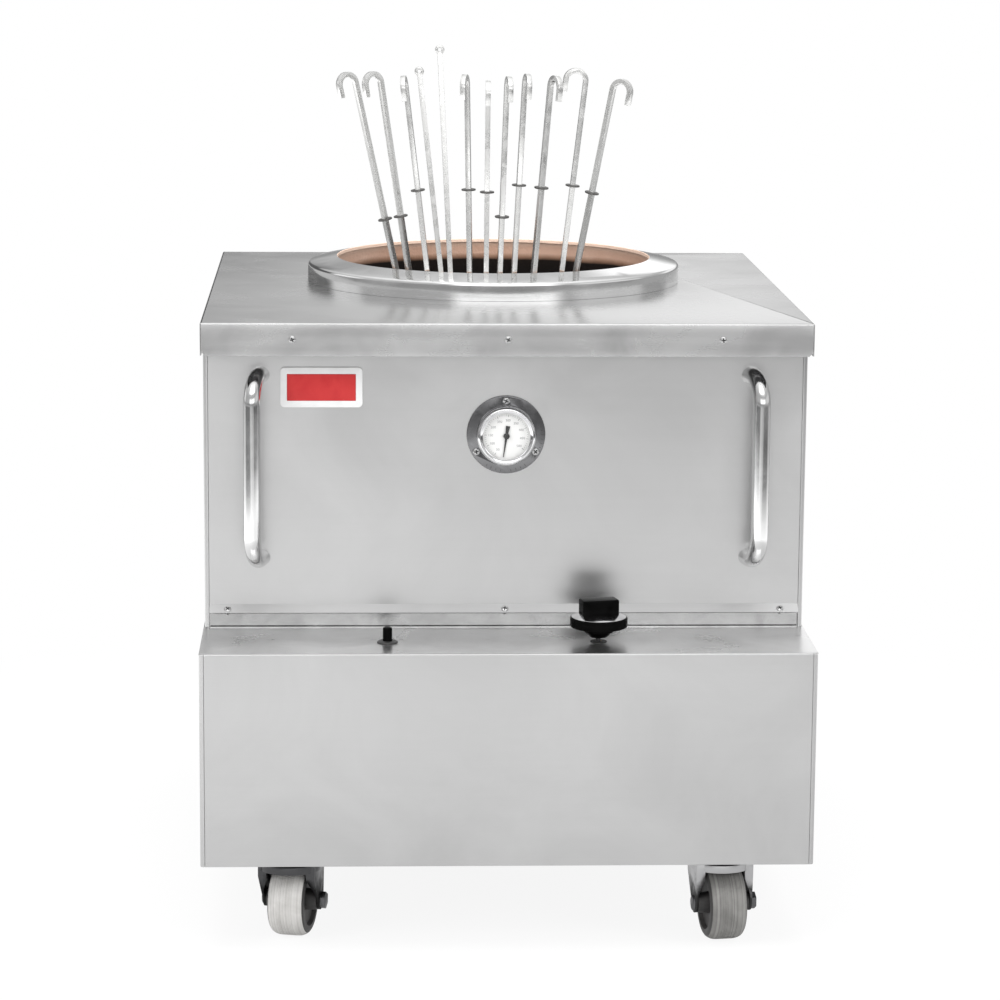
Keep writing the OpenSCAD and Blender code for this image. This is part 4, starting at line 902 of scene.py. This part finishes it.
def skewer_rod(name):
    """The bar with its edges broken and its stop disc darkened by smoke."""
    rod = copy_of(name, name + "_rod")
    ease_edges(rod, 0.35 * MM, 2, 50)
    along = next(Vector(j["axis"]) for j in joints if j["child"] == name).normalized()
    heights = [v.co.dot(along) for v in rod.data.vertices]
    foot = [v.co for v, h in zip(rod.data.vertices, heights) if h < min(heights) + 1 * MM]
    start = sum(foot, Vector()) / len(foot)
    top = max(heights)

    def on_disc(face):
        levels = [heights[i] for i in face.vertices]
        if max(levels) > top - HOOK_H or max(levels) - min(levels) > DISC_T:
            return False
        far = [rod.data.vertices[i].co - start for i in face.vertices]
        return any((c - along * c.dot(along)).length > ROD_REACH for c in far)

    coat(rod, rod_steel)
    face_material(rod, smoked_steel, on_disc)
    fit(smooth(rod), name, "skewer_steel", name)


for name in SKEWERS:
    skewer_rod(name)

# ---------------------------------------------------------------- casters
WHEEL_R, HUB_AND_SHADE_R = 50.0, 44.5      # mm, as the rings below
TREAD_EDGE = [(41 + 9 * math.sin(math.radians(a)), 11 + 14 * math.cos(math.radians(a)))
              for a in range(0, 90, 15)]
GROOVE_D, GROOVE_W, GROOVE_STEP = 0.35, 0.5, 2.2
# One rubber in two tones: painted lighter on the left casters, as lit, and darker on the right, as
# shaded.
LIT_LEFT_TREAD = (0.37, 0.36, 0.345), (0.63, 0.62, 0.605)
SHADED_RIGHT_TREAD = (0.105, 0.103, 0.098), (0.25, 0.246, 0.236)


def wheel_rings():
    """The wheel's section, with fine turned grooves round the tread."""
    side = [(6.05, 35), (13, 35), (15, 19), (33, 20), (36, 25)] + TREAD_EDGE
    for k in range(4, -1, -1):
        at = GROOVE_STEP * (k + 0.5)
        side += [(WHEEL_R, at + GROOVE_W / 2), (WHEEL_R - GROOVE_D, at + GROOVE_W / 4),
                 (WHEEL_R - GROOVE_D, at - GROOVE_W / 4), (WHEEL_R, at - GROOVE_W / 2)]
    rings = [(r, -x) for r, x in side] + [(r, x) for r, x in reversed(side)]
    return [(r * MM, x * MM) for r, x in rings]


for corner in CORNERS:
    # Left casters: forks in painted shade and treads painted lighter, as lit.
    plating = fork_in_painted_shade if "left" in corner else zinc_fork
    dark, light = LIT_LEFT_TREAD if "left" in corner else SHADED_RIGHT_TREAD
    low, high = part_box("wheel_" + corner)
    middle = (low + high) / 2
    axle = next(Vector(j["axis"]) for j in joints if j["name"] == "wheel_roll_" + corner)
    wheel = lathe("wheel_turned_" + corner, wheel_rings(), middle, axle, 64, closed=False)
    coat(wheel, tread_rubber("Tread " + corner.replace("_", " "), dark, light, axle))
    # Faces near the axle are dark: the hub, and past it the tread's side and rounding in painted
    # shade.
    face_material(wheel, hub_and_side_shade, lambda f: (f.center - middle
                  - axle * (f.center - middle).dot(axle)).length < HUB_AND_SHADE_R * MM)
    fit(smooth(wheel, 50), "roller_" + corner, "grey_tread", "wheel_" + corner)
    for part, shape, width, slot, metal in (("fork_", "pressed_", 0.5 * MM, "zinc", plating),
                                            ("axle_", "nuts_", 0.8 * MM, "bare_steel", nut_steel)):
        node = part + corner
        obj = ease_edges(copy_of(node, part + shape + corner), width, 2, 50)
        fit(smooth(keep_inside(obj, node)), "swivel_" + corner, slot, node, material=metal)

# ---------------------------------------------------------------- floor, light and camera
WHITE = (1, 1, 1, 1)
SOFT = ("ShaderNodeMapRange", {}, {"interpolation_type": "SMOOTHSTEP"})
SIDE_SOFT, LOW_SOFT, HIGH_SOFT = 0.10, 0.03, 0.05     # half widths of a panel's soft edges

# A lit or dark panel round the object, as metal sees it: a soft-edged field of directions.
studio_panel = new_group("Studio panel", {"Azimuth": 0.0, "Height": 0.0, "Centre": 0.0,
                                          "Half": 0.5, "Low": 0.0, "High": 0.5}, "Mask")
lay(studio_panel, {
    "offset": maths("SUBTRACT"),
    "wrapped": maths("WRAP", math.pi, -math.pi),
    "away": maths("ABSOLUTE"),
    "inner": maths("SUBTRACT", SIDE_SOFT),
    "outer": maths("ADD", SIDE_SOFT),
    "across": SOFT,
    "under": maths("SUBTRACT", LOW_SOFT),
    "over": maths("ADD", LOW_SOFT),
    "rise": SOFT,
    "roof": maths("ADD", HIGH_SOFT),
    "eaves": maths("SUBTRACT", HIGH_SOFT),
    "fall": SOFT,
    "both": maths("MULTIPLY"),
    "all": maths("MULTIPLY"),
}, ["In.Azimuth > offset.0", "In.Centre > offset.1", "offset.Value > wrapped.0",
    "wrapped.Value > away.0", "In.Half > inner.0", "In.Half > outer.0",
    "away.Value > across.Value", "outer.Value > across.From Min", "inner.Value > across.From Max",
    "In.Low > under.0", "In.Low > over.0", "In.Height > rise.Value",
    "under.Value > rise.From Min", "over.Value > rise.From Max",
    "In.High > roof.0", "In.High > eaves.0", "In.Height > fall.Value",
    "roof.Value > fall.From Min", "eaves.Value > fall.From Max",
    "across.Result > both.0", "rise.Result > both.1", "both.Value > all.0", "fall.Result > all.1",
    "all.Value > Out.Mask"])


def add_panels(tree, parts, wires, panels, height, last):
    """Mixes each panel's strength over the tone that comes before it. The panels' azimuth
    comes from the node named azimuth, their height and the first tone from the named outputs."""
    for k, (centre, half, low, high, strength) in enumerate(panels):
        group_node(tree, f"panel {k}", studio_panel, Centre=math.radians(centre),
                   Half=math.radians(half), Low=low, High=high)
        parts[f"with {k}"] = ("ShaderNodeMix", {3: strength}, NUMBERS)
        wires += [f"azimuth.Value > panel {k}.Azimuth", f"{height} > panel {k}.Height",
                  f"panel {k}.Mask > with {k}.0", f"{last} > with {k}.2"]
        last = f"with {k}.0"
    return last


# How bright metal sees the floor: (distance from the middle / FLOOR_REACH, strength)
FLOOR_REACH = 10.0
FLOOR_TONES = [(0.0, 0.84), (0.10, 0.88), (0.17, 1.10), (0.22, 1.55), (0.28, 2.00), (0.35, 1.00),
               (0.43, 0.60), (0.60, 0.55), (0.80, 0.50), (1.0, 0.45)]
# Dark fans on the floor: (degrees right of the front, half width, nearest and farthest
# distance / FLOOR_REACH, strength)
FLOOR_FANS = [(side * 52, 30, 0.345, 0.95, 0.10) for side in (-1, 1)]


def studio_floor():
    """A white floor that keeps the object's shadow, with bright and dim rings as metal sees it."""
    put_down()
    bpy.ops.mesh.primitive_plane_add(size=60, location=(0, 0, -0.0002))
    floor = new_piece("studio_floor")
    material = new_material("Studio floor", Base_Color=(0.88, 0.88, 0.88, 1), Roughness=1.0,
                            Specular_IOR_Level=0.0)
    tree = material.node_tree
    parts = {
        "path": ("ShaderNodeLightPath", {}),
        "place": PLACE,
        "parts": SPLIT,
        "reach": ("ShaderNodeVectorMath", {}, {"operation": "LENGTH"}),
        "clean": ranged(0.90, 1.0, From_Min=0.70, From_Max=1.5),
        "seen": maths("MULTIPLY"),
        "shown": maths("MULTIPLY", 0.92),
        "share": maths("ADD"),
        "far": ranged(0.0, 1.0, From_Min=0.0, From_Max=FLOOR_REACH),
        "tone": ("ShaderNodeValToRGB", {}),
        "side": ranged(1.14, 0.82, From_Min=-1.0, From_Max=1.0),
        "tilted": maths("MULTIPLY"),
        "grade": ("ShaderNodeMix", {2: 1.0}, NUMBERS),
        "white": ("ShaderNodeEmission", {"Color": WHITE}),
        "pass": ("ShaderNodeMixShader", {}),
        "ahead": maths("MULTIPLY", -1.0),
        "azimuth": maths("ARCTAN2"),
    }
    wires = ["place.Object > reach.0", "place.Object > parts.Vector",
             "reach.Value > clean.Value", "path.Is Camera Ray > seen.0", "clean.Result > seen.1",
             "path.Is Glossy Ray > shown.0", "seen.Value > share.0", "shown.Value > share.1",
             "reach.Value > far.Value", "far.Result > tone.Fac", "parts.X > side.Value",
             "parts.Y > ahead.0", "parts.X > azimuth.0", "ahead.Value > azimuth.1",
             "side.Result > tilted.1", "path.Is Glossy Ray > grade.0",
             "tilted.Value > grade.3", "grade.0 > white.Strength", "share.Value > pass.0",
             "Shader.0 > pass.1", "white.0 > pass.2", "pass.0 > Surface.Surface"]
    last = add_panels(tree, parts, wires, FLOOR_FANS, "far.Result", "tone.Color")
    lay(tree, parts, wires + [f"{last} > tilted.0"])
    set_ramp(tree.nodes["tone"], FLOOR_TONES)
    floor.data.materials.append(material)


studio_floor()

# Panels of the surround: (degrees right of the front, half width, lowest and highest sine of
# elevation, strength)
PANELS = [
    (0, 40, 0.56, 0.88, 2.30),
    (6, 32, 0.08, 0.30, 1.95),
    (-76, 14, 0.02, 0.35, 0.50),
    (-106, 14, 0.02, 0.35, 0.95),
    (-148, 26, 0.03, 0.35, 0.10),
    (76, 26, 0.02, 0.35, 0.80),
    (121, 16, 0.02, 0.35, 0.45),
    (154, 22, 0.13, 0.35, 1.00),
    (173, 5, 0.17, 0.42, 1.35),
]
# What metal sees outside the panels: (sine of elevation, strength)
SKY_TONES = [(0.0, 0.28), (0.05, 0.32), (0.12, 0.58), (0.38, 0.50), (0.60, 0.70), (0.85, 1.0),
             (1.0, 1.30)]
DIFFUSE_LIGHT = 0.90      # the surround's strength for paint


def studio_world():
    """An even white surround for paint and camera; for metal and glass, lit and dark panels."""
    world = bpy.data.worlds.new("Studio")
    bpy.context.scene.world = world
    world.use_nodes = True
    tree = world.node_tree
    tree.nodes.clear()
    parts = {
        "path": ("ShaderNodeLightPath", {}),
        "seen": maths("MAXIMUM"),
        "place": PLACE,
        "aim": SPLIT,
        "ahead": maths("MULTIPLY", -1.0),
        "azimuth": maths("ARCTAN2"),
        "sky": ("ShaderNodeValToRGB", {}),
        "colour": ("ShaderNodeMix", {6: (*[DIFFUSE_LIGHT] * 3, 1)}, COLOURS),
        "white": ("ShaderNodeMix", {7: WHITE}, COLOURS),
        "light": ("ShaderNodeBackground", {"Strength": 1.0}),
        "world": ("ShaderNodeOutputWorld", {}),
    }
    wires = ["place.Generated > aim.Vector", "aim.Z > sky.Fac", "aim.Y > ahead.0",
             "aim.X > azimuth.0", "ahead.Value > azimuth.1", "path.Is Glossy Ray > seen.0",
             "path.Is Transmission Ray > seen.1", "seen.Value > colour.0",
             "path.Is Camera Ray > white.0", "colour.2 > white.6", "white.2 > light.Color",
             "light.Background > world.Surface"]
    last = add_panels(tree, parts, wires, PANELS, "aim.Z", "sky.Color")
    lay(tree, parts, wires + [f"{last} > colour.7"])
    set_ramp(tree.nodes["sky"], SKY_TONES)


studio_world()


LAMP_AIM = Vector((0, 0, 0.6))


def softbox(name, place, size, power):
    """A rectangular lamp, aimed at the middle of the cabinet, that metal doesn't show."""
    lamp = bpy.data.lights.new(name, "AREA")
    lamp.shape = "RECTANGLE"
    lamp.size, lamp.size_y = size
    lamp.energy = power
    obj = bpy.data.objects.new(name, lamp)
    bpy.context.scene.collection.objects.link(obj)
    obj.location = place
    obj.rotation_euler = (LAMP_AIM - Vector(place)).to_track_quat("-Z", "Y").to_euler()
    obj.visible_glossy = False


softbox("overhead", (0.0, -0.6, 3.4), (2.6, 2.0), 81)
softbox("left_box", (-2.6, -2.2, 1.9), (1.2, 1.8), 45)
softbox("right_box", (2.8, -2.0, 1.6), (1.0, 1.8), 36)

CAMERA_PLACE = Vector((-0.2101, -4.9206, 1.4251))
pitch, yaw, roll = [math.radians(angle) for angle in (10.379, 2.525, 0.44)]
FOCAL_LENGTH = 124.71      # mm
ahead = Vector((math.sin(yaw) * math.cos(pitch), math.cos(yaw) * math.cos(pitch),
                -math.sin(pitch)))
level = Vector((math.cos(yaw), -math.sin(yaw), 0))
above = level.cross(ahead)
right = level * math.cos(roll) + above * math.sin(roll)
up = above * math.cos(roll) - level * math.sin(roll)
lens = bpy.data.cameras.new("camera")
lens.sensor_width = 36
lens.lens = FOCAL_LENGTH
lens.clip_end = 200
camera = bpy.data.objects.new("camera", lens)
bpy.context.scene.collection.objects.link(camera)
turn = Matrix((right, up, -ahead)).transposed().to_4x4()
camera.matrix_world = Matrix.Translation(CAMERA_PLACE) @ turn
bpy.context.scene.camera = camera
bpy.context.scene.view_settings.view_transform = "Standard"
